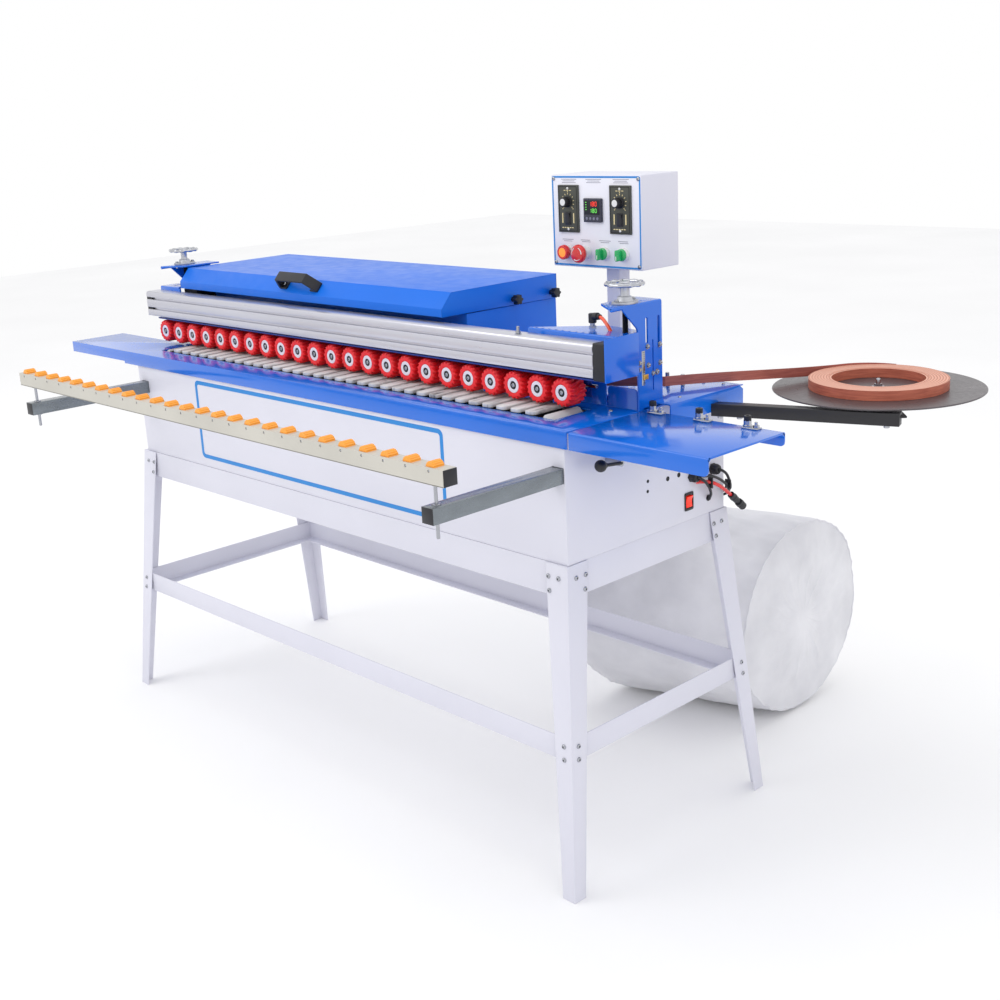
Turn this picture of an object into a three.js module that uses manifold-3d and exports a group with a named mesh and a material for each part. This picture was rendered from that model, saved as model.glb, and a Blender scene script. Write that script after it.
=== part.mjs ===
// Bench edge banding machine: a conveyor table on a sheet-metal cabinet and an angle-iron
// stand, with a bank of sprung pressure rollers that winds up and down on two hand-wheel
// screws, a hood over the glue and trimming gear, a pull-out roller rail and a tape reel.
// Millimetres, +Z up. X runs along the feed, -Y is the operator's side. Inside this file
// the main table's front right corner is at X = 0, Y = 0 and the floor at Z = 0; the last
// lines move the whole machine so that its origin is the middle of its base.
import * as THREE from 'three';
import { mergeVertices } from 'three/addons/utils/BufferGeometryUtils.js';
import Module from 'manifold-3d';

// ---- driving dimensions ----
const GAP = 0.3; // air left between two pieces that touch
const SHEET = 2; // housings and covers
const PLATE = 4; // table tops, towers and brackets

const TABLE = { top: 947, left: -1631, depth: 497, apron: 34, endX: -5 };
const LEFT_TABLE = { left: -1918, depth: 160, apron: 28 };
const RIGHT_TABLE = { right: 321, depth: 228, lip: 27 };
const SLOT = { left: -1540, right: -93, front: 62, back: 170 };
const CABINET = { left: -1570, right: -14.5, front: 4.5, back: 497, bottom: 680.3 };
const STAND = { left: -1582.5, right: -12.5, front: 0, back: 505, splayX: 54.5, splayY: 68 };
const LEG = { top: 58, foot: 33, thick: 3 };
const UPPER_RAIL = { low: 612, high: 679.7, depth: 30, shelfOnTop: true };
const LOWER_RAIL = { low: 285, high: 335, depth: 30, shelfOnTop: false };

const ROLLER = { count: 23, pitch: 67.1, x: -123, z: 986.6, radius: 29.3, front: 115, length: 46 };
const AXLE_RADIUS = 6;
const BEAM = { left: -1660, right: -29, front: 105, back: 148, low: 1027, high: 1092, wall: 2.5 };
const SLAT = { pitch: 41, width: 33, height: 16, top: 954.3 };
const LOOP = { left: -1490, right: -143, radius: 26 }; // conveyor chain's line

const TOWER = { front: 208, back: 280, top: 1158, right: -2, left: -1612 };
const SCREW = { y: 198, right: -25, left: -1598, radius: 6, wheelZ: 1196, wheelRadius: 40 };

const HOOD = { left: -1553, right: -500, back: 510, split: 1099, top: 1154 };
const LID_FRONT = [[150, 1101], [150, 1119], [180, 1152]]; // Y, Z of the front lip and bevel
const BOX = { left: -411, right: -157, front: 410, back: 531, low: 1188, high: 1383 };
const POST = { x: -284, y: 479, size: 36 };
const BUTTON = { z: 1220, first: -366, step: 53.3 };

const ARM = { size: 30, top: 873.6, right: -19, left: -1525, front: -323, inner: 177 };
const RAIL = { left: -1586, right: 7.5, front: -317, width: 32, low: 914, high: 945 };
const RAIL_ROLLER = { count: 26, pitch: 61.1, x: -30.7, z: 943.5, radius: 12 };
const REEL = { x: 255, y: 655, z: 947, radius: 212, roll: 139, hole: 93, tape: 20 };
const REEL_ARM = { start: [20, 367], end: [395, 500], low: 915, high: 945 };
const TRAY = { left: -120, right: 52, front: 238, back: 474, high: 962, low: 922 };
const TAPE_END = { x: -36, y: 330, low: 972 };
const BAG = { x: -120, y: 980, radius: 254, length: 450, lean: THREE.MathUtils.degToRad(16) };

// ---- solids ----
const wasm = await Module();
wasm.setup();

const solid = (geometry) => {
  const bare = new THREE.BufferGeometry();
  const source = geometry.index ? geometry : mergeVertices(geometry);
  bare.setAttribute('position', source.getAttribute('position').clone());
  bare.setIndex(Array.from(source.index.array));
  const merged = mergeVertices(bare, 1e-4);
  return new wasm.Manifold(new wasm.Mesh({
    numProp: 3,
    vertProperties: merged.attributes.position.array,
    triVerts: new Uint32Array(merged.index.array),
  }));
};
const join = (...parts) => parts.flat().reduce((sum, part) => sum.add(part));
const cut = (body, ...tools) => tools.flat().reduce((rest, tool) => rest.subtract(tool), body);

const block = (x0, x1, y0, y1, z0, z1) => solid(
  new THREE.BoxGeometry(x1 - x0, y1 - y0, z1 - z0)
    .translate((x0 + x1) / 2, (y0 + y1) / 2, (z0 + z1) / 2),
);
const rod = (from, to, radius, sides = 12, endRadius = radius) => {
  const a = new THREE.Vector3(...from);
  const b = new THREE.Vector3(...to);
  const along = b.clone().sub(a);
  const turn = new THREE.Quaternion().setFromUnitVectors(
    new THREE.Vector3(0, 1, 0),
    along.clone().normalize(),
  );
  return solid(
    new THREE.CylinderGeometry(endRadius, radius, along.length(), sides)
      .applyQuaternion(turn)
      .translate(...a.add(b).divideScalar(2).toArray()),
  );
};
const outline = (points) => new THREE.Shape(points.map(([a, b]) => new THREE.Vector2(a, b)));
const extrude = (shape, length) => new THREE.ExtrudeGeometry(shape, {
  depth: length,
  bevelEnabled: false,
  steps: 1,
  curveSegments: 5,
});
const AXES = {
  X: new THREE.Matrix4().set(0, 0, 1, 0, 1, 0, 0, 0, 0, 1, 0, 0, 0, 0, 0, 1), // outline is Y, Z
  Y: new THREE.Matrix4().set(1, 0, 0, 0, 0, 0, -1, 0, 0, 1, 0, 0, 0, 0, 0, 1), // outline is X, Z
  Z: new THREE.Matrix4(), // outline is X, Y
};
const prism = (shape, axis, from, to) => {
  const geometry = extrude(shape instanceof THREE.Shape ? shape : outline(shape), to - from)
    .applyMatrix4(AXES[axis]);
  const start = { X: [from, 0, 0], Y: [0, to, 0], Z: [0, 0, from] }[axis];
  return solid(geometry.translate(...start));
};
const turned = (profile, sides) => solid(
  new THREE.LatheGeometry(profile.map(([r, h]) => new THREE.Vector2(r, h)), sides),
);
const STANDING = new THREE.Matrix4().makeRotationX(Math.PI / 2); // lathe axis from Y to Z

const machine = new THREE.Group();
function add(name, body, material) {
  const mesh = body.getMesh();
  const geometry = new THREE.BufferGeometry();
  geometry.setAttribute('position', new THREE.BufferAttribute(mesh.vertProperties, 3));
  geometry.setIndex(new THREE.BufferAttribute(mesh.triVerts, 1));
  const node = new THREE.Mesh(geometry, material);
  node.name = name;
  machine.add(node);
  return node;
}

// ---- materials ----
const finish = (color, roughness, metalness) => new THREE.MeshStandardMaterial({
  color,
  roughness,
  metalness,
});
const blue = finish(0x1c5fd0, 0.3, 0.1);
const white = finish(0xe6e6ee, 0.4, 0.05);
const red = finish(0xd81e26, 0.6, 0);
const black = finish(0x22222c, 0.5, 0);
const aluminium = finish(0xc8c8d2, 0.3, 0.9);
const steel = finish(0xa8adb0, 0.35, 0.9);
const padGrey = finish(0xc8c4be, 0.8, 0);
const beige = finish(0xc8c5bc, 0.5, 0.1);
const green = finish(0x1f9d5a, 0.4, 0);
const brown = finish(0x9c4a35, 0.5, 0);
const discGrey = finish(0x5f585c, 0.4, 0.3);
const cloth = finish(0xf2f2f4, 0.95, 0);

// ---- stand ----
const legCorner = (side, end, z) => {
  const lean = 1 - z / UPPER_RAIL.high;
  return [
    side > 0 ? STAND.right + STAND.splayX * lean : STAND.left - STAND.splayX * lean,
    end > 0 ? STAND.back + STAND.splayY * lean : STAND.front - STAND.splayY * lean,
  ];
};

// A tapered, splayed leg of L section. side is +1 right, end is +1 rear.
function leg(side, end) {
  const section = (z, width) => {
    const [x, y] = legCorner(side, end, z);
    const at = (a, b) => [x - side * a, y - end * b, z];
    return [
      at(0, 0), at(width, 0), at(width, LEG.thick), at(LEG.thick, LEG.thick),
      at(LEG.thick, width), at(0, width),
    ];
  };
  const points = [...section(0, LEG.foot), ...section(UPPER_RAIL.high, LEG.top)];
  const faces = [[0, 1, 2], [0, 2, 3], [0, 3, 4], [0, 4, 5]];
  const triangles = faces.flatMap(([a, b, c]) => [[a, c, b], [a + 6, b + 6, c + 6]]);
  for (let i = 0; i < 6; i += 1) {
    const j = (i + 1) % 6;
    triangles.push([i, j, j + 6], [i, j + 6, i + 6]);
  }
  const flip = side * end > 0;
  const index = triangles.flatMap(([a, b, c]) => (flip ? [a, b, c] : [a, c, b]));
  const geometry = new THREE.BufferGeometry();
  geometry.setAttribute('position', new THREE.Float32BufferAttribute(points.flat(), 3));
  geometry.setIndex(index);
  return solid(geometry);
}

// A ring of four angle irons inside the legs: upright flange out, shelf inwards at one edge.
function railRing({ low, high, depth, shelfOnTop }) {
  const [right, back] = legCorner(1, 1, high).map((v) => v - LEG.thick - GAP);
  const [left, front] = legCorner(-1, -1, high).map((v) => v + LEG.thick + GAP);
  const outer = block(left, right, front, back, low, high);
  const web = block(
    left + LEG.thick, right - LEG.thick, front + LEG.thick, back - LEG.thick,
    shelfOnTop ? low - 1 : low + LEG.thick, shelfOnTop ? high - LEG.thick : high + 1,
  );
  const shelf = block(left + depth, right - depth, front + depth, back - depth, low - 1, high + 1);
  return cut(outer, web, shelf);
}

add('leg_front_right', leg(1, -1), white);
add('leg_front_left', leg(-1, -1), white);
add('leg_rear_right', leg(1, 1), white);
add('leg_rear_left', leg(-1, 1), white);
add('stand_upper_frame', railRing(UPPER_RAIL), white);
add('stand_lower_frame', railRing(LOWER_RAIL), white);

// ---- cabinet: four walls and a floor, with square guides for the pull-out arms ----
const TABLE_UNDER = TABLE.top - PLATE - GAP;
const GUIDE_GAP = 0.5;
const armX = (side) => {
  const outer = side > 0 ? ARM.right : ARM.left;
  return [outer - ARM.size, outer];
};
const armHole = (side) => {
  const [x0, x1] = armX(side);
  return block(
    x0 - GUIDE_GAP, x1 + GUIDE_GAP, CABINET.front - 10, CABINET.front + 10,
    ARM.top - ARM.size - GUIDE_GAP, ARM.top + GUIDE_GAP,
  );
};
const cabinetShell = cut(
  block(
    CABINET.left, CABINET.right, CABINET.front, CABINET.back,
    CABINET.bottom, TABLE_UNDER,
  ),
  block(
    CABINET.left + SHEET, CABINET.right - SHEET, CABINET.front + SHEET, CABINET.back - SHEET,
    CABINET.bottom + SHEET, TABLE_UNDER + 1,
  ),
  armHole(1),
  armHole(-1),
);
const ROCKER = { y: 376, z: 722, wide: 22, tall: 30 };
const rockerHole = block(
  CABINET.right - 10, CABINET.right + 10,
  ROCKER.y - ROCKER.wide / 2, ROCKER.y + ROCKER.wide / 2,
  ROCKER.z - ROCKER.tall / 2, ROCKER.z + ROCKER.tall / 2,
);
const glands = [[386, 774], [457, 775]].map(([y, z]) => (
  rod([CABINET.right - 1, y, z], [CABINET.right + 14, y, z], 8, 8)
));
add('cabinet', join(cut(cabinetShell, rockerHole), glands), white);

// The rocker fills its hole with running clearance and tips about a line along Y.
const rockerFace = [
  [CABINET.right - 8, ROCKER.z - 11], [CABINET.right + 3, ROCKER.z - 12.5],
  [CABINET.right + 1.5, ROCKER.z], [CABINET.right + 6, ROCKER.z + 12],
  [CABINET.right - 8, ROCKER.z + 11],
];
add(
  'power_rocker',
  prism(rockerFace, 'Y', ROCKER.y - ROCKER.wide / 2 + 1, ROCKER.y + ROCKER.wide / 2 - 1),
  red,
);

// ---- tables ----
const tableTop = block(
  TABLE.left, TABLE.endX, 0, TABLE.depth, TABLE.top - PLATE, TABLE.top,
);
const tableApron = block(
  TABLE.left, TABLE.endX, 0, PLATE, TABLE.top - TABLE.apron, TABLE.top - 1,
);
const leftTop = join(
  block(LEFT_TABLE.left, TABLE.left + 1, 0, LEFT_TABLE.depth, TABLE.top - PLATE, TABLE.top),
  block(
    LEFT_TABLE.left, TABLE.left + 1, 0, PLATE,
    TABLE.top - LEFT_TABLE.apron, TABLE.top - 1,
  ),
);
const slotCut = block(
  SLOT.left, SLOT.right, SLOT.front, SLOT.back, TABLE.top - 2 * PLATE, TABLE.top + 1,
);
// Two upright guard plates with round top corners screen the glue roller.
const GUARD = { front: 213, back: 216, corner: 9 };
const guard = (left, right, high) => {
  const r = GUARD.corner;
  const shape = new THREE.Shape();
  shape.moveTo(left, TABLE.top - 1);
  shape.lineTo(right, TABLE.top - 1);
  shape.lineTo(right, high - r);
  shape.absarc(right - r, high - r, r, 0, Math.PI / 2, false);
  shape.lineTo(left + r, high);
  shape.absarc(left + r, high - r, r, Math.PI / 2, Math.PI, false);
  return prism(shape, 'Y', GUARD.front, GUARD.back);
};
const guards = [guard(-230, -92, 997), guard(-87, -12, 989)];
add('main_table', cut(join(tableTop, tableApron, leftTop, guards), slotCut), blue);

const RIGHT_START = 0.8;
const rightProfile = (() => {
  const top = TABLE.top;
  const low = TABLE.top - TABLE.apron;
  const lip = TABLE.top - RIGHT_TABLE.lip;
  const d = RIGHT_TABLE.depth;
  return [
    [0, low], [PLATE, low], [PLATE, top - PLATE], [d - PLATE, top - PLATE],
    [d - PLATE, lip], [d, lip], [d, top], [0, top],
  ];
})();
// Three edge rollers on small feet along the back of the right table.
const GUIDE = { xs: [27, 139, 249], y: 214, z: TABLE.top };
const guideRollers = GUIDE.xs.map((x) => join(
  block(x - 8, x + 26, GUIDE.y - 8, GUIDE.y + 8, GUIDE.z - 1, GUIDE.z + 3),
  rod([x, GUIDE.y, GUIDE.z + 1], [x, GUIDE.y, GUIDE.z + 24], 7, 10),
  rod([x + 19, GUIDE.y, GUIDE.z + 1], [x + 19, GUIDE.y, GUIDE.z + 14], 4, 8),
));
add(
  'right_table',
  join(prism(rightProfile, 'X', RIGHT_START, RIGHT_TABLE.right), guideRollers),
  blue,
);

// ---- conveyor: rubber-faced slats on an endless chain round two sprocket wheels ----
const slatLoop = (() => {
  const z = SLAT.top - SLAT.height - LOOP.radius;
  const straight = LOOP.right - LOOP.left;
  const round = Math.PI * LOOP.radius;
  const lap = 2 * (straight + round);
  const count = Math.round(lap / SLAT.pitch);
  const at = (s, out) => {
    const r = LOOP.radius + out;
    if (s < straight) return [LOOP.right - s, z + r];
    if (s < straight + round) {
      const a = Math.PI / 2 + (s - straight) / LOOP.radius;
      return [LOOP.left + r * Math.cos(a), z + r * Math.sin(a)];
    }
    if (s < 2 * straight + round) return [LOOP.left + (s - straight - round), z - r];
    const a = -Math.PI / 2 + (s - 2 * straight - round) / LOOP.radius;
    return [LOOP.right + r * Math.cos(a), z + r * Math.sin(a)];
  };
  const step = lap / count;
  const half = (SLAT.width / SLAT.pitch) * step / 2;
  const edge = [];
  for (let i = 0; i < count; i += 1) {
    const middle = (i + 0.5) * step;
    edge.push(at(middle - half, 0), at(middle - half, SLAT.height));
    edge.push(at(middle + half, SLAT.height), at(middle + half, 0));
  }
  const shape = outline(edge);
  const inner = new THREE.Path();
  const r = LOOP.radius - 6;
  inner.moveTo(LOOP.left, z - r);
  inner.lineTo(LOOP.right, z - r);
  inner.absarc(LOOP.right, z, r, -Math.PI / 2, Math.PI / 2, false);
  inner.lineTo(LOOP.left, z + r);
  inner.absarc(LOOP.left, z, r, Math.PI / 2, 1.5 * Math.PI, false);
  shape.holes.push(inner);
  return shape;
})();
add('conveyor_chain', prism(slatLoop, 'Y', SLOT.front + 2, SLOT.back - 3), padGrey);

// ---- hood over the glue pot and the trimmers ----
const shellOf = (profile, inset, left, right) => cut(
  prism(profile, 'X', left, right),
  prism(inset, 'X', left + SHEET, right - SHEET),
);
const HOUSING_FRONT = 224;
const housing = shellOf(
  [
    [HOUSING_FRONT, TABLE.top + GAP], [HOOD.back - 2, TABLE.top + GAP],
    [HOOD.back - 2, HOOD.split - GAP], [HOUSING_FRONT, HOOD.split - GAP],
  ],
  [
    [HOUSING_FRONT + SHEET, TABLE.top - 1], [HOOD.back - 2 - SHEET, TABLE.top - 1],
    [HOOD.back - 2 - SHEET, HOOD.split + 1], [HOUSING_FRONT + SHEET, HOOD.split + 1],
  ],
  HOOD.left + 2,
  HOOD.right - 2,
);
// The tools reach the panel's edge through a long mouth in the front wall.
const MOUTH = { inset: 40, high: 1012 };
const housingMouth = block(
  HOOD.left + MOUTH.inset, HOOD.right - MOUTH.inset,
  HOUSING_FRONT - 1, HOUSING_FRONT + SHEET + 1, TABLE.top - 1, MOUTH.high,
);
add('rear_housing', cut(housing, housingMouth), blue);

const [lipFoot, lipTop, bevelTop] = LID_FRONT;
const BELOW_LID = HOOD.split - 20;
const lidShell = shellOf(
  [bevelTop, lipTop, lipFoot, [HOOD.back, HOOD.split], [HOOD.back, HOOD.top]],
  [
    [bevelTop[0] + SHEET / 2, bevelTop[1] - SHEET], [lipTop[0] + SHEET, lipTop[1] - 1],
    [lipFoot[0] + SHEET, BELOW_LID], [HOOD.back - SHEET, BELOW_LID],
    [HOOD.back - SHEET, HOOD.top - SHEET],
  ],
  HOOD.left,
  HOOD.right,
);
// The bridge handle is a bent band that stands on the bevel, square to it.
const HANDLE = { x: -1024, foot: 76, bar: 55, out: 40, wide: 26, thick: 5, pad: 48 };
const handle = (() => {
  const { foot, bar: half, out, wide, thick, pad } = HANDLE;
  const side = [[pad, -1], [foot, -1], [foot, thick], [half, out]];
  const inside = [[half - 4, out - thick], [foot - 7, thick], [pad, thick]];
  const mirrored = (points) => points.map(([a, b]) => [-a, b]).reverse();
  const shape = outline([...side, ...mirrored([...inside, ...side])].concat(inside));
  const outwards = Math.atan2(bevelTop[0] - lipTop[0], lipTop[1] - bevelTop[1]);
  const geometry = extrude(shape, wide).translate(0, 0, -wide / 2).rotateX(outwards);
  return solid(geometry.translate(
    HANDLE.x, (lipTop[0] + bevelTop[0]) / 2, (lipTop[1] + bevelTop[1]) / 2,
  ));
})();
const STAR_KNOB = { ys: [366, 490], z: 1113, out: 22, radius: 12 };
const starKnobs = STAR_KNOB.ys.map((y) => rod(
  [HOOD.right - 1, y, STAR_KNOB.z], [HOOD.right + STAR_KNOB.out, y, STAR_KNOB.z],
  STAR_KNOB.radius, 10,
));
add('hood_lid', join(lidShell, handle, starKnobs), blue);

// ---- towers, screws and hand wheels ----
const FLANGE = { front: 135, reach: 42, tip: 10, shoulder: 40 };
const TOWER_FOOT = 40;
const BEARING = { radius: 22, high: 14 };
const RUNNING = 0.6; // clearance round a turning screw
const TOWER_SLOTS = [[234, 1077, 1128, 7], [270, 1062, 1128, 7], [252, 982, 1083, 3.5]];
function tower(side) {
  const out = side > 0 ? TOWER.right : TOWER.left;
  const inn = out - side * PLATE;
  const web = prism([
    [TOWER.front, TABLE.top + GAP], [TOWER.back, TABLE.top + GAP],
    [TOWER.back, TOWER.top], [FLANGE.front + 30, TOWER.top],
    [FLANGE.front + 30, TOWER.top - 8], [TOWER.front, TOWER.top - 50],
  ], 'X', Math.min(out, inn), Math.max(out, inn));
  const slots = TOWER_SLOTS.map(([y, low, high, wide]) => block(
    out - 20, out + 20, y - wide / 2, y + wide / 2, low, high,
  ));
  const x = side > 0 ? SCREW.right : SCREW.left;
  const reach = x - side * FLANGE.reach;
  const flange = prism([
    [out, FLANGE.front], [out - side * FLANGE.tip, FLANGE.front],
    [reach, FLANGE.front + FLANGE.shoulder], [reach, TOWER.back], [out, TOWER.back],
  ], 'Z', TOWER.top - PLATE, TOWER.top);
  const foot = block(
    Math.min(out, out - side * TOWER_FOOT), Math.max(out, out - side * TOWER_FOOT),
    TOWER.front + 12, TOWER.back, TABLE.top + GAP, TABLE.top + GAP + PLATE,
  );
  const bearing = rod(
    [x, SCREW.y, TOWER.top - 1], [x, SCREW.y, TOWER.top + BEARING.high], BEARING.radius, 12,
  );
  const bore = rod(
    [x, SCREW.y, TOWER.top - 10], [x, SCREW.y, TOWER.top + 20], SCREW.radius + RUNNING, 12,
  );
  return cut(join(cut(web, slots), flange, foot, bearing), bore);
}
add('tower_right', tower(1), blue);
add('tower_left', tower(-1), blue);

const CARRIER_TOP = 1104;
function handwheel(side) {
  const x = side > 0 ? SCREW.right : SCREW.left;
  const { wheelZ: z, wheelRadius: r, y } = SCREW;
  const rim = turned([
    [r - 9, -3], [r - 3, -5], [r, 0], [r - 3, 5], [r - 9, 3], [r - 9, -3],
  ], 24);
  const rimUp = rim.transform(STANDING.clone().setPosition(x, y, z).elements);
  const spokes = [0, 120, 240].map((degrees) => {
    const a = THREE.MathUtils.degToRad(degrees + 20);
    const tip = [x + (r - 6) * Math.cos(a), y + (r - 6) * Math.sin(a), z];
    return rod([x, y, z - 3], tip, 4, 6);
  });
  const hub = rod([x, y, TOWER.top + BEARING.high + GAP], [x, y, z + 4], 9, 12, 12);
  const screw = rod([x, y, CARRIER_TOP - 60], [x, y, z], SCREW.radius, 12);
  return join(rimUp, spokes, hub, screw);
}
add('handwheel_right', handwheel(1), steel);
add('handwheel_left', handwheel(-1), steel);

// ---- pressure beam: a grooved aluminium extrusion with a black end cap ----
const beamProfile = (() => {
  const { front: y0, back: y1, low: z0, high: z1 } = BEAM;
  const groove = (z, h, d) => [[y0, z - h], [y0 + d, z - h], [y0 + d, z + h], [y0, z + h]];
  return [
    [y1, z0], [y1, z1], [y0 + 6, z1], [y0 + 1.8, z1 - 1.8], [y0, z1 - 6],
    ...groove(z1 - 18, 3, 7).reverse(), ...groove(z0 + 20, 3, 7).reverse(), [y0, z0],
  ].reverse();
})();
const beamCore = block(
  BEAM.left - 1, BEAM.right + 1, BEAM.front + 11, BEAM.back - BEAM.wall,
  BEAM.low + BEAM.wall, BEAM.high - BEAM.wall,
);
add('pressure_beam', cut(prism(beamProfile, 'X', BEAM.left, BEAM.right), beamCore), aluminium);

// ---- roller carrier: hanger, roller shelf and stub axles, end plates and gussets ----
const SHELF = { low: 1019.5, high: 1023, front: 112, back: 190, webEnd: -108 };
const WEB_NOTCH = 170; // the carrier's top plates stay clear of the tower webs behind this
const carrier = (() => {
  const y0 = BEAM.back + GAP;
  const endX = BEAM.right + 30;
  const backLow = ROLLER.z - 20;
  const shelf = block(BEAM.left + 6, endX, SHELF.front, SHELF.back, SHELF.low, SHELF.high);
  const back = block(
    BEAM.left + 6, SHELF.webEnd, SHELF.back - 4, SHELF.back, backLow, SHELF.high,
  );
  const spine = block(BEAM.left + 6, endX, y0, y0 + 4, SHELF.low, 1060);
  const cap = block(
    BEAM.right + GAP, endX + 1, BEAM.front, BEAM.back, SHELF.high - 1, BEAM.high + 3,
  );
  const rightPlate = block(endX, endX + 3, BEAM.front, TOWER.front - 5, 1020, CARRIER_TOP);
  const rightTop = prism([
    [-240, y0], [endX + 1, y0], [endX + 1, WEB_NOTCH], [TOWER.right - 7, WEB_NOTCH],
    [TOWER.right - 7, 225], [-40, 236], [-106, 245],
  ], 'Z', CARRIER_TOP - 5, CARRIER_TOP - 2);
  const rightSpine = block(-240, endX + 1, y0, y0 + 4, SHELF.low, CARRIER_TOP - 3);
  const leftTop = prism([
    [BEAM.left + 6, y0], [-1563, y0], [-1563, 200], [TOWER.left + 7, 220],
    [TOWER.left + 7, WEB_NOTCH], [TOWER.left - 3, WEB_NOTCH], [TOWER.left - 3, 220],
    [BEAM.left + 6, 200],
  ], 'Z', CARRIER_TOP - 5, CARRIER_TOP - 2);
  const leftSpine = block(BEAM.left + 6, -1563, y0, y0 + 4, SHELF.low, CARRIER_TOP - 3);
  const axles = Array.from({ length: ROLLER.count }, (_, i) => {
    const x = ROLLER.x - i * ROLLER.pitch;
    const from = [x, ROLLER.front + 6, ROLLER.z];
    return rod(from, [x, SHELF.back - 2, ROLLER.z], AXLE_RADIUS, 8);
  });
  const holes = [SCREW.right, SCREW.left].map((x) => (
    rod([x, SCREW.y, CARRIER_TOP - 20], [x, SCREW.y, CARRIER_TOP + 5], SCREW.radius + RUNNING, 12)
  ));
  const row = Array.from({ length: 7 }, (_, i) => {
    const x = -205 + i * 20;
    const y = 165 + i * 10.5;
    return rod([x, y, CARRIER_TOP - 20], [x, y, CARRIER_TOP + 5], 3.5, 6);
  });
  const body = join(
    shelf, back, spine, cap, rightPlate, rightTop, rightSpine, leftTop, leftSpine, axles,
  );
  return cut(body, holes, row);
})();
add('roller_carrier', carrier, blue);

// ---- red pressure rollers, each on its own stub axle ----
const rollerProfile = (() => {
  const { radius: r, length: l } = ROLLER;
  const bore = AXLE_RADIUS + 0.3;
  return [
    [bore, 0], [r - 2, 0], [r, 3], [r, l - 3], [r - 2, l], [bore, l], [bore, 0],
  ];
})();
for (let i = 0; i < ROLLER.count; i += 1) {
  const roller = turned(rollerProfile, 14);
  const name = `pressure_roller_${String(i + 1).padStart(2, '0')}`;
  add(name, roller, red).position.set(
    ROLLER.x - i * ROLLER.pitch,
    ROLLER.front,
    ROLLER.z,
  );
}

// ---- control box on its post, with the things the operator turns and presses ----
const boxSolid = cut(
  block(BOX.left, BOX.right, BOX.front, BOX.back, BOX.low, BOX.high),
  block(
    BOX.left + SHEET, BOX.right - SHEET, BOX.front + SHEET, BOX.back - SHEET,
    BOX.low + SHEET, BOX.high - SHEET,
  ),
  block(
    POST.x - 15, POST.x + 15, POST.y - 15, POST.y + 15, BOX.low - 5, BOX.low + 10,
  ),
);
const half = POST.size / 2;
const postTube = cut(
  block(
    POST.x - half, POST.x + half, POST.y - half, POST.y + half,
    TABLE.top + GAP, BOX.low + 1,
  ),
  block(
    POST.x - half + SHEET, POST.x + half - SHEET, POST.y - half + SHEET, POST.y + half - SHEET,
    TABLE.top - 1, BOX.low + 2,
  ),
);
const instrument = (x0, x1, z0, z1, out) => (
  block(x0, x1, BOX.front - out, BOX.front + 1, z0, z1)
);
const instruments = [
  instrument(-388, -330, 1262, 1362, 5),
  instrument(-241, -183, 1262, 1362, 5),
  instrument(-313, -263, 1285, 1335, 7),
];
const controlX = (i) => BUTTON.first + i * BUTTON.step;
const collar = (i, r, out) => rod(
  [controlX(i), BOX.front + 1, BUTTON.z], [controlX(i), BOX.front - out, BUTTON.z], r, 16,
);
const collars = [5, 14, 8, 8].map((out, i) => collar(i, 14, out));
add('control_box', join(boxSolid, postTube, instruments, collars), white);
const pushed = (i, r, from, to, back = r) => rod(
  [controlX(i), BOX.front - from, BUTTON.z], [controlX(i), BOX.front - to, BUTTON.z],
  back, 16, r,
);
const PRESS = 6; // room behind a button for its travel
add('start_button', pushed(0, 15, 5 + PRESS, 21, 16), red);
add('emergency_stop', pushed(1, 19, 14 + PRESS, 34, 20), red);
const selector = (i) => join(
  pushed(i, 13, 8 + GAP, 14),
  block(
    controlX(i) - 4, controlX(i) + 4, BOX.front - 28, BOX.front - 13,
    BUTTON.z - 12, BUTTON.z + 12,
  ),
);
add('selector_left', selector(2), green);
add('selector_right', selector(3), green);
const speedKnob = (x) => rod([x, BOX.front - 5 - GAP, 1327], [x, BOX.front - 22, 1327], 12, 14, 9);
add('speed_knob_left', speedKnob(-359), black);
add('speed_knob_right', speedKnob(-212), black);

// ---- pull-out arms and the roller rail on its height pins ----
const PIN = { radius: 5, low: 812, y: RAIL.front + RAIL.width / 2 };
function supportArm(side) {
  const [x0, x1] = armX(side);
  const z0 = ARM.top - ARM.size;
  const wall = 2;
  const tube = cut(
    block(x0, x1, ARM.front, ARM.inner, z0, ARM.top),
    block(
      x0 + wall, x1 - wall, ARM.front + 4, ARM.inner + 1,
      z0 + wall, ARM.top - wall,
    ),
  );
  const x = (x0 + x1) / 2;
  const sleeve = rod([x, PIN.y, z0 - 0.5], [x, PIN.y, ARM.top + 0.5], PIN.radius + 3, 12);
  const bore = rod([x, PIN.y, z0 - 9], [x, PIN.y, ARM.top + 9], PIN.radius + 0.5, 12);
  return cut(join(tube, sleeve), bore);
}
add('support_arm_right', supportArm(1), steel);
add('support_arm_left', supportArm(-1), steel);

const rail = (() => {
  const { left, right, front, width, high } = RAIL;
  const channel = cut(
    block(left, right, front, front + width, RAIL.low, high),
    block(left + 6, right - 6, front + 2, front + width - 2, RAIL.low + 2, high + 1),
  );
  const rollers = Array.from({ length: RAIL_ROLLER.count }, (_, i) => {
    const x = RAIL_ROLLER.x - i * RAIL_ROLLER.pitch;
    const wheel = rod(
      [x, front + 4, RAIL_ROLLER.z], [x, front + width - 4, RAIL_ROLLER.z],
      RAIL_ROLLER.radius, 8,
    );
    const low = RAIL_ROLLER.z - 5;
    const axle = rod([x, front + 1, low], [x, front + width - 1, low], 2, 6);
    return join(wheel, axle);
  });
  const pins = [1, -1].map((side) => {
    const [x0, x1] = armX(side);
    const x = (x0 + x1) / 2;
    return rod([x, PIN.y, PIN.low], [x, PIN.y, RAIL.low + 1], PIN.radius, 10);
  });
  return join(channel, rollers, pins);
})();
add('roller_rail', rail, beige);

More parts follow.
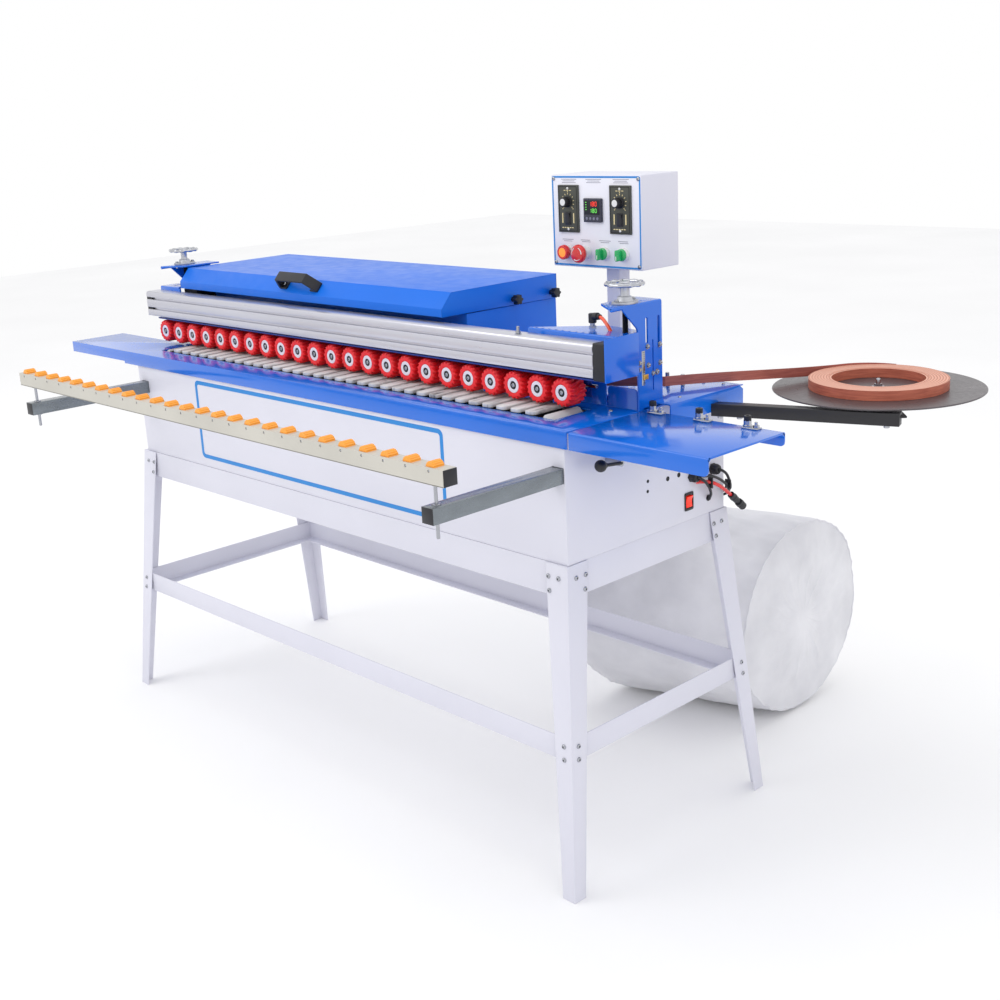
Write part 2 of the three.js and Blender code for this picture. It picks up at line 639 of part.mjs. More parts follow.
// ---- tape reel ----
const [startX, startY] = REEL_ARM.start;
const [endX, endY] = REEL_ARM.end;
const BAR_HIGH = REEL_ARM.high - 12; // top of the inner flat bar
const ARM_TOP = REEL_ARM.high - 5; // top of the long bar
const bar = (x0, y0, x1, y1, z0, z1, wide) => {
  const length = Math.hypot(x1 - x0, y1 - y0);
  const nx = ((y0 - y1) / length) * wide / 2;
  const ny = ((x1 - x0) / length) * wide / 2;
  return prism(
    [[x0 - nx, y0 - ny], [x1 - nx, y1 - ny], [x1 + nx, y1 + ny], [x0 + nx, y0 + ny]],
    'Z', z0, z1,
  );
};
const reelArm = join(
  bar(startX, startY, endX, endY, REEL_ARM.low, ARM_TOP, 26),
  bar(endX, endY, REEL.x, REEL.y, BAR_HIGH - PLATE, BAR_HIGH, 24),
);
const pinHole = rod(
  [REEL.x, REEL.y, REEL_ARM.low - 5], [REEL.x, REEL.y, REEL_ARM.high + 5], 5.5, 12,
);
const lipFace = block(-60, TRAY.right + GAP, 300, 420, REEL_ARM.low - 5, REEL_ARM.high + 5);
add('reel_arm', cut(reelArm, pinHole, lipFace), black);
const DISC = { low: REEL.z - 3, high: REEL.z };
const disc = join(
  rod([REEL.x, REEL.y, DISC.low], [REEL.x, REEL.y, DISC.high], REEL.radius, 40),
  rod([REEL.x, REEL.y, REEL_ARM.low - 4], [REEL.x, REEL.y, REEL.z + 18], 5, 12),
  rod([REEL.x, REEL.y, BAR_HIGH + GAP], [REEL.x, REEL.y, DISC.low + 1], 16, 12),
);
add('reel_disc', disc, discGrey);
const roll = cut(
  rod([REEL.x, REEL.y, REEL.z + GAP], [REEL.x, REEL.y, REEL.z + GAP + REEL.tape], REEL.roll, 40),
  rod([REEL.x, REEL.y, REEL.z - 1], [REEL.x, REEL.y, REEL.z + 40], REEL.hole, 32),
);
add('tape_roll', roll, brown);

// The free end of the tape runs on edge, straight off the roll, over the tray to the rollers.
const tapeStrip = (() => {
  const dx = REEL.x - TAPE_END.x;
  const dy = REEL.y - TAPE_END.y;
  const reach = Math.hypot(dx, dy);
  const clear = REEL.roll + 2;
  const turn = Math.atan2(dy, dx) + Math.asin(clear / reach);
  const length = Math.sqrt(reach ** 2 - clear ** 2);
  const off = [TAPE_END.x + length * Math.cos(turn), TAPE_END.y + length * Math.sin(turn)];
  const end = [-150, 262];
  const strip = (from, to, lowFrom, lowTo) => {
    const long = Math.hypot(to[0] - from[0], to[1] - from[1]);
    const geometry = extrude(outline([
      [0, lowFrom], [long, lowTo], [long, lowTo + REEL.tape], [0, lowFrom + REEL.tape],
    ]), 1.5);
    geometry.rotateX(Math.PI / 2);
    geometry.rotateZ(Math.atan2(to[1] - from[1], to[0] - from[0]));
    return solid(geometry.translate(from[0], from[1], 0));
  };
  const a = strip(off, [TAPE_END.x, TAPE_END.y], REEL.z + 4, TAPE_END.low);
  const b = strip([TAPE_END.x + 0.4, TAPE_END.y + 0.6], end, TAPE_END.low, TAPE_END.low);
  return join(a, b);
})();
add('tape_strip', tapeStrip, brown);

const tray = join(
  block(TRAY.left, TRAY.right, TRAY.front, TRAY.back, TRAY.high - 3, TRAY.high),
  prism([
    [TRAY.front, TRAY.low], [TRAY.back, TRAY.low], [TRAY.back, TRAY.high - 10],
    [TRAY.back - 14, TRAY.high], [TRAY.front, TRAY.high],
  ], 'X', TRAY.right - 3, TRAY.right),
  block(TRAY.left, TRAY.left + 3, TRAY.front, TRAY.back, TABLE.top + GAP, TRAY.high - 1),
);
const trayCorner = block(
  TRAY.left - 1, TRAY.right + 1, TRAY.back - 14, TRAY.back + 1, TRAY.high - 1, TRAY.high + 1,
);
const towerRoom = block(
  TOWER.right - 48, TOWER.right + 1, TRAY.front - 5, TOWER.back + 2,
  TABLE.top - 5, TRAY.high + 5,
);
add('tape_tray', cut(tray, towerRoom, trayCorner), blue);

// ---- ball-ended clamp lever on the cabinet's right end ----
const LEVER = { y: 122, z: 866, x: 24, ball: [24, 62, 873] };
add('clamp_lever', join(
  rod([CABINET.right + GAP, LEVER.y, LEVER.z], [LEVER.x + 2, LEVER.y, LEVER.z], 7, 10),
  rod([LEVER.x, LEVER.y, LEVER.z], LEVER.ball, 3.5, 8),
  solid(new THREE.SphereGeometry(12, 12, 8).translate(...LEVER.ball)),
), black);

// ---- three cables from the glands and the air inlet hose, with its push-in coupling ----
const alongRoute = (points, radius, steps = 14) => {
  const curve = new THREE.CatmullRomCurve3(
    points.map((p) => new THREE.Vector3(...p)), false, 'centripetal',
  );
  const ring = new THREE.Shape();
  ring.absarc(0, 0, radius, 0, 2 * Math.PI, false);
  return solid(new THREE.ExtrudeGeometry(ring, {
    steps,
    curveSegments: 4,
    bevelEnabled: false,
    extrudePath: curve,
  }));
};
const FACE = CABINET.right;
const BACK = CABINET.back;
const DROP_CABLE = [
  [FACE + 17, 386, 774], [FACE + 22, 390, 771], [FACE + 24, 402, 762],
  [FACE + 20, 421, 744], [FACE + 14, 434, 727], [FACE + 3.5, 442, 712],
];
const LOW_CABLE = [
  [FACE + 17, 389, 777], [FACE + 24, 400, 775], [FACE + 27, 425, 769],
  [FACE + 26, 450, 757], [FACE + 23, 474, 741], [FACE + 16, 494, 724],
  [FACE + 3, BACK + 12, 711], [FACE - 12, BACK + 14, 703], [FACE - 23, BACK + 4, 700],
];
const HIGH_CABLE = [
  [FACE + 17, 457, 775], [FACE + 23, 462, 773], [FACE + 25, 474, 763],
  [FACE + 22, 488, 745], [FACE + 15, 501, 729], [FACE + 2, BACK + 17, 717],
  [FACE - 16, BACK + 16, 710], [FACE - 27, BACK + 4, 708],
];
const HOSE = [
  [FACE + 3, 398, 759], [FACE + 14, 410, 759], [FACE + 24, 426, 755],
  [FACE + 29, 450, 741], [FACE + 29, 485, 715],
];
const CABLE_RADIUS = 3;
const HOSE_RADIUS = 4;
const COUPLING_END = [FACE + 26, 532, 678];
const between = (a, b, t) => a.map((v, i) => v + (b[i] - v) * t);
const hoseEnd = HOSE.at(-1);
const coupling = [
  rod(between(hoseEnd, COUPLING_END, -0.05), between(hoseEnd, COUPLING_END, 0.5), 8, 10),
  rod(between(hoseEnd, COUPLING_END, 0.45), between(hoseEnd, COUPLING_END, 0.6), 5.5, 10),
  rod(between(hoseEnd, COUPLING_END, 0.58), COUPLING_END, 9, 10),
];
const ties = [
  block(FACE + 12, FACE + 24, 484, 490, 726, 746),
  block(FACE + 16, FACE + 26, 418, 424, 742, 760),
];
add('line_bundle', join(
  alongRoute(DROP_CABLE, CABLE_RADIUS), alongRoute(LOW_CABLE, CABLE_RADIUS),
  alongRoute(HIGH_CABLE, CABLE_RADIUS), alongRoute(HOSE, HOSE_RADIUS), coupling, ties,
), black);

// ---- dust bag, lying skewed on the floor behind, with its neck and duct up to the cabinet ----
const BAG_SLOPE = Math.tan(BAG.lean);
const bagEnd = (distance, z = BAG.radius) => [
  BAG.x - distance, BAG.y - BAG_SLOPE * distance, z,
];
const bagSkew = new THREE.Matrix4().set(1, 0, 0, 0, BAG_SLOPE, 1, 0, 0, 0, 0, 1, 0, 0, 0, 0, 1);
const bagBody = solid(
  new THREE.CylinderGeometry(BAG.radius, BAG.radius, BAG.length, 28)
    .rotateZ(Math.PI / 2)
    .translate(-BAG.length / 2, 0, 0)
    .applyMatrix4(bagSkew)
    .translate(BAG.x, BAG.y, BAG.radius),
);
const DUCT = { distance: 280, radius: 50, topY: CABINET.back + 62, topZ: 760 };
const ductFoot = bagEnd(DUCT.distance, 2 * BAG.radius - 12);
const ductTop = [ductFoot[0], DUCT.topY, DUCT.topZ];
const duct = join(
  rod(ductFoot, ductTop, DUCT.radius, 16),
  rod(
    [ductTop[0], CABINET.back + GAP, DUCT.topZ], [ductTop[0], DUCT.topY + 20, DUCT.topZ],
    DUCT.radius, 16,
  ),
);
add('dust_bag', join(bagBody, duct), cloth);

// ---- origin: the middle of the base ----
machine.updateMatrixWorld(true);
const bounds = new THREE.Box3().setFromObject(machine);
const middle = bounds.getCenter(new THREE.Vector3());
machine.position.set(-middle.x, -middle.y, -bounds.min.z);

export default machine;
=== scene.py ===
"""Looks of a bench edge banding machine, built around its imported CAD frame.

Lengths are millimetres in the machine's own axes, as in the CAD source: the main table's
front right corner is X = 0, Y = 0 and the floor is Z = 0. at() turns them into the frame's metres.
"""
import math

import bmesh
import bpy
from mathutils import Matrix, Vector, noise
from mathutils.geometry import tessellate_polygon


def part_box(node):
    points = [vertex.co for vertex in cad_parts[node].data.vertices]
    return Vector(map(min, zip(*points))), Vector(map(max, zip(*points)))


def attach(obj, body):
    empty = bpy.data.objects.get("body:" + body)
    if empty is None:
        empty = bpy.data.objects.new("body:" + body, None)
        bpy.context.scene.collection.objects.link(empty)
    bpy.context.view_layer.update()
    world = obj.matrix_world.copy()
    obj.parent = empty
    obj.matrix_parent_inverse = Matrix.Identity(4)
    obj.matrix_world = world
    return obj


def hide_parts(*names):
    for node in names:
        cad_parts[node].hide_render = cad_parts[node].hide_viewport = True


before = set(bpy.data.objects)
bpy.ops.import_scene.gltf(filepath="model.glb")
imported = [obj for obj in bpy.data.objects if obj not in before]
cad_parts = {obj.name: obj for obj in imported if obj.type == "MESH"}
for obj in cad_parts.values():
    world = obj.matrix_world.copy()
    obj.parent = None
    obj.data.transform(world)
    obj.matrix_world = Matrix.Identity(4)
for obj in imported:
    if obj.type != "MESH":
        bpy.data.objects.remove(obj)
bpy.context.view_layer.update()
TURN = 2 * math.pi

RIGHT_TABLE_LEFT = 0.8
ORIGIN = Vector(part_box("right_table")[0]) * 1000 - Vector((RIGHT_TABLE_LEFT, 0, 0))
ORIGIN.z = 0
X, Y, Z = Vector((1, 0, 0)), Vector((0, 1, 0)), Vector((0, 0, 1))


def at(x, y, z):
    """A point of the machine, in the frame's metres."""
    return (ORIGIN + Vector((x, y, z))) / 1000


def span(node):
    """A CAD node's box in machine millimetres: x0, x1, y0, y1, z0, z1."""
    low, high = (Vector(corner) * 1000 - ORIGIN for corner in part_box(node))
    return low.x, high.x, low.y, high.y, low.z, high.z


def middle_x(node):
    x0, x1 = span(node)[:2]
    return (x0 + x1) / 2


def show(thing):
    bpy.context.scene.collection.objects.link(thing)
    return thing


# ---- camera ----
CAMERA = {"place": (1658.4, -1759.7, 1531.1), "yaw": 46.406, "pitch": 16.333, "roll": -2.776}
SENSOR = 36.0
LENS = 48.33


def make_camera():
    yaw, pitch, roll = (math.radians(CAMERA[key]) for key in ("yaw", "pitch", "roll"))
    back = Vector((
        math.sin(yaw) * math.cos(pitch), -math.cos(yaw) * math.cos(pitch), math.sin(pitch)))
    side = (-back).cross(Z).normalized()
    up = side.cross(-back)
    right = side * math.cos(roll) + up * math.sin(roll)
    top = up * math.cos(roll) - side * math.sin(roll)
    data = bpy.data.cameras.new("camera")
    data.sensor_width = SENSOR
    data.lens = LENS
    data.clip_end = 100
    camera = show(bpy.data.objects.new("camera", data))
    turn = Matrix((right, top, back)).transposed().to_4x4()
    camera.matrix_world = Matrix.Translation(at(*CAMERA["place"])) @ turn
    bpy.context.scene.camera = camera


make_camera()


# ---- materials ----
def srgb(red, green, blue):
    def linear(value):
        value /= 255
        return value / 12.92 if value <= 0.04045 else ((value + 0.055) / 1.055) ** 2.4
    return linear(red), linear(green), linear(blue)


def scaled(color, factor):
    return tuple(min(1.0, channel * factor) for channel in color)


class Nodes:
    """A material's node tree, with the few nodes that the finishes here share."""

    def __init__(self, name):
        self.material = bpy.data.materials.new(name)
        self.material.use_nodes = True
        self.tree = self.material.node_tree
        self.shader = self.tree.nodes["Principled BSDF"]
        self.place = self.new("ShaderNodeTexCoord").outputs["Object"]

    def new(self, kind, **values):
        node = self.tree.nodes.new(kind)
        for key, value in values.items():
            setattr(node, key, value)
        return node

    def link(self, source, target):
        self.tree.links.new(source, target)

    def mapped(self, **values):
        mapping = self.new("ShaderNodeMapping")
        for key, value in values.items():
            mapping.inputs[key].default_value = value
        self.link(self.place, mapping.inputs["Vector"])
        return mapping.outputs["Vector"]

    def noise(self, scale, detail=3.0, stretch=None, roughness=0.5):
        node = self.new("ShaderNodeTexNoise")
        node.inputs["Scale"].default_value = scale
        node.inputs["Detail"].default_value = detail
        node.inputs["Roughness"].default_value = roughness
        self.link(self.mapped(Scale=stretch) if stretch else self.place, node.inputs["Vector"])
        return node.outputs["Fac"]

    def color(self, source, *stops):
        """The base colour, from a ramp over the source between two or more stops."""
        node = self.new("ShaderNodeValToRGB")
        ramp = node.color_ramp
        for index, (place, color) in enumerate(stops):
            stop = ramp.elements[index] if index < 2 else ramp.elements.new(place)
            stop.position = place
            stop.color = (*color, 1)
        self.link(source, node.inputs["Fac"])
        self.link(node.outputs["Color"], self.shader.inputs["Base Color"])

    def gloss(self, source, low, high):
        """The roughness, between two values over the middle of the source's range."""
        node = self.new("ShaderNodeMapRange")
        for key, value in {"From Min": 0.3, "From Max": 0.7, "To Min": low, "To Max": high}.items():
            node.inputs[key].default_value = value
        self.link(source, node.inputs["Value"])
        self.link(node.outputs["Result"], self.shader.inputs["Roughness"])

    def bump(self, source, strength, depth_mm):
        node = self.new("ShaderNodeBump")
        node.inputs["Strength"].default_value = strength
        node.inputs["Distance"].default_value = depth_mm / 1000
        self.link(source, node.inputs["Height"])
        self.link(node.outputs["Normal"], self.shader.inputs["Normal"])

    def set(self, **values):
        for key, value in values.items():
            self.shader.inputs[key.replace("_", " ")].default_value = value
        return self.material


def finish(name, rgb, roughness, metal=0.0, coat=0.0, mottle=0.05, cloud=5.0, grain=0.15,
           grain_scale=700.0, grain_depth=0.05, stretch=None, specular=0.5):
    """A painted, moulded or metal surface: cloudy tone, uneven gloss and fine grain."""
    nodes = Nodes(name)
    color = srgb(*rgb)
    nodes.color(nodes.noise(cloud, 5, stretch),
                (0.3, scaled(color, 1 - mottle)), (0.7, scaled(color, 1 + mottle)))
    nodes.gloss(nodes.noise(cloud * 7, 4, stretch), roughness * 0.85, roughness * 1.15)
    if grain:
        nodes.bump(nodes.noise(grain_scale, 2, stretch), grain, grain_depth)
    return nodes.set(
        Metallic=metal, Coat_Weight=coat, Coat_Roughness=0.12, Specular_IOR_Level=specular)


BLUE = finish("blue_powder_coat", (6, 104, 214), 0.15, coat=0.35, mottle=0.03, grain=0)
HOOD_BLUE = finish("blue_hood_paint", (6, 108, 222), 0.38, mottle=0.03, grain=0, specular=0.3)
# A darker copy of the blue paint: painted shade for the shelf and roller brackets under the beam.
SHADED_BLUE = finish("blue_inside", (14, 52, 140), 0.45, mottle=0.08, grain=0.05)
WHITE = finish("white_powder_coat", (216, 216, 228), 0.4, mottle=0.02, grain=0.06,
               grain_scale=900, grain_depth=0.03)
PANEL_WHITE = finish("panel_white", (232, 232, 242), 0.35, mottle=0.02, grain=0.1)
LABEL_BLUE = finish("label_blue", (16, 130, 208), 0.35, mottle=0.04, grain=0.1)
BLACK = finish("black_plastic", (22, 22, 29), 0.42, mottle=0.15, grain=0.2, grain_scale=900)
BLACK_PAINT = finish("black_paint", (28, 27, 32), 0.38, mottle=0.12)
# Near black: painted shade in holes, slots and hollows, and also the real dark print of the scale ticks,
# printed frames and meter window.
PAINTED_SHADE_AND_DARK_PRINT = finish("dark_inside", (14, 15, 22), 0.6, mottle=0.2, grain=0.2)
STEEL = finish("zinc_steel", (172, 174, 180), 0.22, metal=1.0, mottle=0.08, cloud=30,
               grain=0.2, grain_scale=1500)
DARK_STEEL = finish("oiled_steel", (70, 70, 76), 0.4, metal=0.9, mottle=0.2, cloud=40)
CHROME = finish("polished_metal", (186, 188, 194), 0.14, metal=1.0, mottle=0.04, cloud=40,
                grain=0.08)
CAST = finish("cast_metal", (186, 188, 194), 0.4, metal=0.9, mottle=0.18, cloud=60,
              grain=0.6, grain_scale=500, grain_depth=0.3)
BRASS = finish("brass", (214, 170, 90), 0.3, metal=1.0, mottle=0.1, cloud=50)
ALUMINIUM = finish("anodised_extrusion", (205, 205, 214), 0.32, metal=0.85, cloud=60,
                   grain=0.3, grain_scale=260, stretch=(0.04, 1, 1))
GALVANISED = finish("galvanised_steel", (122, 129, 135), 0.3, metal=0.75, coat=0.5, mottle=0.1,
                    cloud=70, grain=0.3, grain_scale=300, stretch=(1, 0.25, 1))
BEIGE = finish("beige_rail", (200, 197, 188), 0.42, metal=0.25, grain=0.2)
ORANGE = finish("orange_roller", (255, 164, 44), 0.38, coat=0.2, cloud=40)
RED = finish("red_polyurethane", (242, 34, 42), 0.42, mottle=0.1, cloud=60,
             grain_scale=420, grain_depth=0.1)
HUB = finish("white_hub", (232, 229, 240), 0.4, mottle=0.04, cloud=60)
RED_PLASTIC = finish("red_button", (215, 26, 30), 0.25, coat=0.5, cloud=30)
GREEN_PLASTIC = finish("green_button", (20, 172, 92), 0.25, coat=0.5, cloud=30)
COLLAR = finish("white_collar", (226, 226, 226), 0.3, coat=0.3, mottle=0.03, cloud=30)
SPEED_PLATE = finish("speed_plate", (72, 74, 68), 0.45, metal=0.3, mottle=0.08, cloud=40)
TICK = finish("dial_tick", (232, 214, 160), 0.5)
NAVY = finish("instrument_case", (34, 36, 58), 0.3, coat=0.3, mottle=0.06, cloud=40)
KEY_GREY = finish("instrument_keys", (120, 120, 140), 0.4)
DISC = finish("reel_disc_paint", (88, 82, 86), 0.32, metal=0.35, mottle=0.12, cloud=18,
              grain=0.3, grain_scale=350)
HOSE_RED = finish("red_hose", (226, 30, 32), 0.25, coat=0.5, mottle=0.06, cloud=40)
HOSE_ORANGE = finish("orange_hose", (255, 84, 34), 0.25, coat=0.5, cloud=40)
JACKET = finish("cable_jacket", (26, 27, 34), 0.4, mottle=0.12, cloud=80, grain=0.25)
DUCT_GREY = finish("duct_grey", (120, 122, 128), 0.5, mottle=0.1, cloud=40, grain=0.3)


def glowing(name, rgb, strength):
    material = finish(name, rgb, 0.3, mottle=0.03)
    shader = material.node_tree.nodes["Principled BSDF"]
    shader.inputs["Emission Color"].default_value = (*srgb(*rgb), 1)
    shader.inputs["Emission Strength"].default_value = strength
    return material


RED_DIGIT = glowing("red_digit", (255, 60, 44), 0.7)
GREEN_DIGIT = glowing("green_digit", (110, 225, 90), 0.5)
LIT_ORANGE = glowing("lit_lens", (255, 140, 50), 0.5)
LIT_ROCKER = glowing("lit_rocker", (255, 50, 24), 0.25)


def slat_rubber():
    """Pale grey conveyor pads with dark rubbed streaks along them."""
    nodes = Nodes("slat_rubber")
    nodes.color(nodes.noise(24, 6, (1.6, 0.4, 1), 0.6), (0.3, srgb(112, 110, 112)),
                (0.42, srgb(198, 197, 198)), (0.66, srgb(224, 223, 224)))
    nodes.bump(nodes.noise(240, 5, (2.5, 0.3, 1)), 0.4, 0.2)
    return nodes.set(Roughness=0.72)


def tape_edging(name, dark, light, stretch, scale):
    """Wood-look edging: long grain lines over a brown ground."""
    nodes = Nodes(name)
    grain = nodes.noise(scale, 6, stretch, 0.6)
    nodes.color(grain, (0.35, dark), (0.65, light))
    nodes.bump(grain, 0.25, 0.1)
    return nodes.set(Roughness=0.48)


def filter_cloth():
    """White non-woven filter cloth: soft fibres over a nearly even white."""
    nodes = Nodes("filter_cloth")
    nodes.color(nodes.noise(7, 5), (0.3, srgb(210, 210, 216)), (0.7, srgb(230, 230, 235)))
    nodes.bump(nodes.noise(260, 6, None, 0.7), 0.45, 0.5)
    return nodes.set(Roughness=0.95, Sheen_Weight=0.25, Sheen_Roughness=0.6)


def tape_windings(centre):
    """The end face of the wound roll: thin light and dark rings round its centre."""
    nodes = Nodes("tape_windings")
    rings = nodes.new("ShaderNodeTexWave", wave_type="RINGS", rings_direction="Z")
    for key, value in {"Scale": 55, "Distortion": 1.2, "Detail": 3}.items():
        rings.inputs[key].default_value = value
    nodes.link(nodes.mapped(Location=-at(*centre)), rings.inputs["Vector"])
    tone = rings.outputs["Fac"]
    nodes.color(tone, (0.1, srgb(186, 118, 96)), (0.6, srgb(226, 166, 142)))
    nodes.bump(tone, 0.5, 0.3)
    return nodes.set(Roughness=0.5)


def pale_floor():
    nodes = Nodes("pale_floor")
    nodes.color(nodes.noise(0.8, 2), (0.2, srgb(246, 246, 247)), (0.8, srgb(252, 252, 253)))
    return nodes.set(Roughness=0.9, Specular_IOR_Level=0.1)


SLAT = slat_rubber()
TAPE_SIDE = tape_edging("tape_side", srgb(168, 86, 66), srgb(200, 112, 88), (1, 1, 14), 22)
TAPE_STRIP = tape_edging("tape_strip_face", srgb(146, 76, 68), srgb(174, 98, 86), (1, 1, 16), 20)
CLOTH = filter_cloth()

# ---- mesh making: every function here returns a bmesh or an outline in machine millimetres ----
SHARP = math.radians(32)
FLAT = math.radians(1)
RUN = {"X": lambda a, b, t: (t, a, b), "Y": lambda a, b, t: (a, t, b), "Z": lambda a, b, t: (a, b, t)}


def rounded(bm, radius, segments=2):
    """Takes the sharp corners off, if a radius is given."""
    if radius:
        sharp = [edge for edge in bm.edges
                 if len(edge.link_faces) == 2 and edge.calc_face_angle(0) > SHARP]
        bmesh.ops.bevel(bm, geom=sharp, offset=radius, segments=segments,
                        profile=0.5, affect="EDGES", clamp_overlap=True)
    return bm


def moved(bm, matrix):
    bmesh.ops.transform(bm, matrix=matrix, verts=bm.verts)
    return bm


def block(x0, x1, y0, y1, z0, z1, bevel=0.0, segments=2):
    """A box between limits; the two along X may come in either order."""
    x0, x1 = sorted((x0, x1))
    bm = bmesh.new()
    bmesh.ops.create_cube(bm, size=1)
    size = Vector((x1 - x0, y1 - y0, z1 - z0))
    middle = Vector((x1 + x0, y1 + y0, z1 + z0)) / 2
    for vert in bm.verts:
        vert.co = middle + Vector(a * b for a, b in zip(vert.co, size))
    return rounded(bm, bevel, segments)


def shell(rings, caps=False, closed=False):
    """A skin over rings of points: all of one count, apart from rings of a single point."""
    bm = bmesh.new()
    loops = [[bm.verts.new(point) for point in ring] for ring in rings]
    if caps:
        bm.faces.new(loops[0][::-1])
        bm.faces.new(loops[-1])
    if closed:
        loops.append(loops[0])
    for low, high in zip(loops, loops[1:]):
        sides = max(len(low), len(high))
        for k in range(sides):
            m = (k + 1) % sides
            corners = (low[k % len(low)], low[m % len(low)], high[m % len(high)], high[k % len(high)])
            unique = list(dict.fromkeys(corners))
            if len(unique) > 2:
                bm.faces.new(unique)
    bmesh.ops.recalc_face_normals(bm, faces=bm.faces)
    return bm


def prism(outline, axis, start, end, bevel=0.0, segments=2):
    """An outline run along an axis: it is Y, Z along X; X, Z along Y; and X, Y along Z."""
    rings = [[RUN[axis](a, b, t) for a, b in outline] for t in (start, end)]
    return rounded(shell(rings, caps=True), bevel, segments)


def plate(outline, holes, axis, start, end, bevel=0.0, segments=2):
    """As prism(), with holes right through: each hole is an outline of its own."""
    loops = [[Vector((a, b, 0)) for a, b in loop] for loop in (outline, *holes)]
    bm = bmesh.new()
    low, high = ([bm.verts.new(RUN[axis](p.x, p.y, t)) for loop in loops for p in loop]
                 for t in (start, end))
    for triangle in tessellate_polygon(loops):
        bm.faces.new([low[i] for i in triangle])
        bm.faces.new([high[i] for i in reversed(triangle)])
    first = 0
    for loop in loops:
        for k in range(len(loop)):
            i, j = first + k, first + (k + 1) % len(loop)
            bm.faces.new((low[i], low[j], high[j], high[i]))
        first += len(loop)
    bmesh.ops.recalc_face_normals(bm, faces=bm.faces)
    bmesh.ops.dissolve_limit(bm, angle_limit=FLAT, verts=bm.verts, edges=bm.edges)
    return rounded(bm, bevel, segments)


def circle(a, b, radius, sides=16, high=None):
    """A circle, or an ellipse if its half height is given too."""
    high = radius if high is None else high
    return [(a + radius * math.cos(TURN * k / sides), b + high * math.sin(TURN * k / sides))
            for k in range(sides)]


def rect(a0, a1, b0, b1):
    return [(a0, b0), (a1, b0), (a1, b1), (a0, b1)]


def lobed(radius, depth, lobes, sides):
    """A circle whose radius swings in and out."""
    angles = [TURN * k / sides for k in range(sides)]
    radii = [radius + depth * math.cos(lobes * angle) for angle in angles]
    return [(r * math.cos(angle), r * math.sin(angle)) for r, angle in zip(radii, angles)]


def round_rect(a0, a1, b0, b1, radius, steps=4):
    """A rectangle with round corners."""
    corners = [(a1 - radius, b1 - radius, 0), (a0 + radius, b1 - radius, 90),
               (a0 + radius, b0 + radius, 180), (a1 - radius, b0 + radius, 270)]
    points = []
    for a, b, start in corners:
        for k in range(steps + 1):
            angle = math.radians(start + 90 * k / steps)
            points.append((a + radius * math.cos(angle), b + radius * math.sin(angle)))
    return points


def corner_line(points, radius, steps=5):
    """An outline whose corners marked with True are rounded."""
    line = []
    for i, (a, b, *marked) in enumerate(points):
        if not marked:
            line.append((a, b))
            continue
        here = Vector((a, b))
        start, end = (here + (Vector(near[:2]) - here).normalized() * radius
                      for near in (points[i - 1], points[(i + 1) % len(points)]))
        for k in range(steps + 1):
            t = k / steps
            line.append(tuple(start * (1 - t) ** 2 + here * 2 * t * (1 - t) + end * t ** 2))
    return line


def border(a0, a1, b0, b1, band, corners, y0, y1, steps=4):
    """A printed frame on a front face, with its outer and inner corner radii."""
    inside = round_rect(a0 + band, a1 - band, b0 + band, b1 - band, corners[1], steps)
    return plate(round_rect(a0, a1, b0, b1, corners[0], steps), [inside], "Y", y0, y1)


def frame_of(direction):
    """Two vectors square to a direction."""
    ahead = Vector(direction).normalized()
    side = ahead.cross(Z if abs(ahead.z) < 0.9 else X).normalized()
    return side, ahead.cross(side)


def ring(centre, side, up, radius, sides):
    angles = (TURN * k / sides for k in range(sides))
    return [centre + (side * math.cos(a) + up * math.sin(a)) * radius for a in angles]


def turned(profile, centre, axis=Z, sides=32):
    """A profile of (radius, height) turned about an axis through centre."""
    axis = Vector(axis).normalized()
    side, up = frame_of(axis)
    return shell([ring(Vector(centre) + axis * height, side, up, radius, sides if radius else 1)
                  for radius, height in profile])


def drum(radius, low, high, centre, axis, sides):
    """A plain disc, or with six sides a nut, between two heights along its axis."""
    return turned([(0, low), (radius, low), (radius, high), (0, high)], centre, axis, sides)


def rod(start, end, radius, sides=16, chamfer=0.0):
    """A round bar between two points, with its rims taken off."""
    start, end = Vector(start), Vector(end)
    length = (end - start).length
    if not chamfer:
        return drum(radius, 0, length, start, end - start, sides)
    c = min(chamfer, radius * 0.9, length / 3)
    profile = [(0, 0), (radius - c, 0), (radius, c), (radius, length - c), (radius - c, length),
               (0, length)]
    return turned(profile, start, end - start, sides)


def sweep(points, radius, sides=12, closed=False):
    """A tube along points; radius may be a function of the way along, from 0 to 1."""
    size = radius if callable(radius) else lambda t: radius
    last = len(points) - 1
    rings = []
    normal = None
    for i, point in enumerate(points):
        if closed:
            ahead = points[(i + 1) % len(points)] - points[i - 1]
        else:
            ahead = points[min(i + 1, last)] - points[max(i - 1, 0)]
        ahead.normalize()
        if normal is None:
            normal = frame_of(ahead)[0]
        normal = (normal - ahead * normal.dot(ahead)).normalized()
        rings.append(ring(point, normal, ahead.cross(normal), size(i / last), sides))
    return shell(rings, not closed, closed)


def smooth_line(points, steps=8):
    """A Catmull-Rom line through points."""
    points = [Vector(p) for p in points]
    padded = [points[0] * 2 - points[1], *points, points[-1] * 2 - points[-2]]
    line = []
    for p0, p1, p2, p3 in zip(padded, padded[1:], padded[2:], padded[3:]):
        for k in range(steps):
            t = k / steps
            line.append(0.5 * (2 * p1 + (p2 - p0) * t + (2 * p0 - 5 * p1 + 4 * p2 - p3) * t ** 2
                               + (3 * p1 - p0 - 3 * p2 + p3) * t ** 3))
    return [*line, points[-1]]


def aimed(bm, place, direction):
    """Turns something made along +Z at the origin to stand at a place along a direction."""
    side, up = frame_of(direction)
    ahead = Vector(direction).normalized()
    turn = Matrix((side, up, ahead)).transposed().to_4x4()
    return moved(bm, Matrix.Translation(Vector(place)) @ turn)


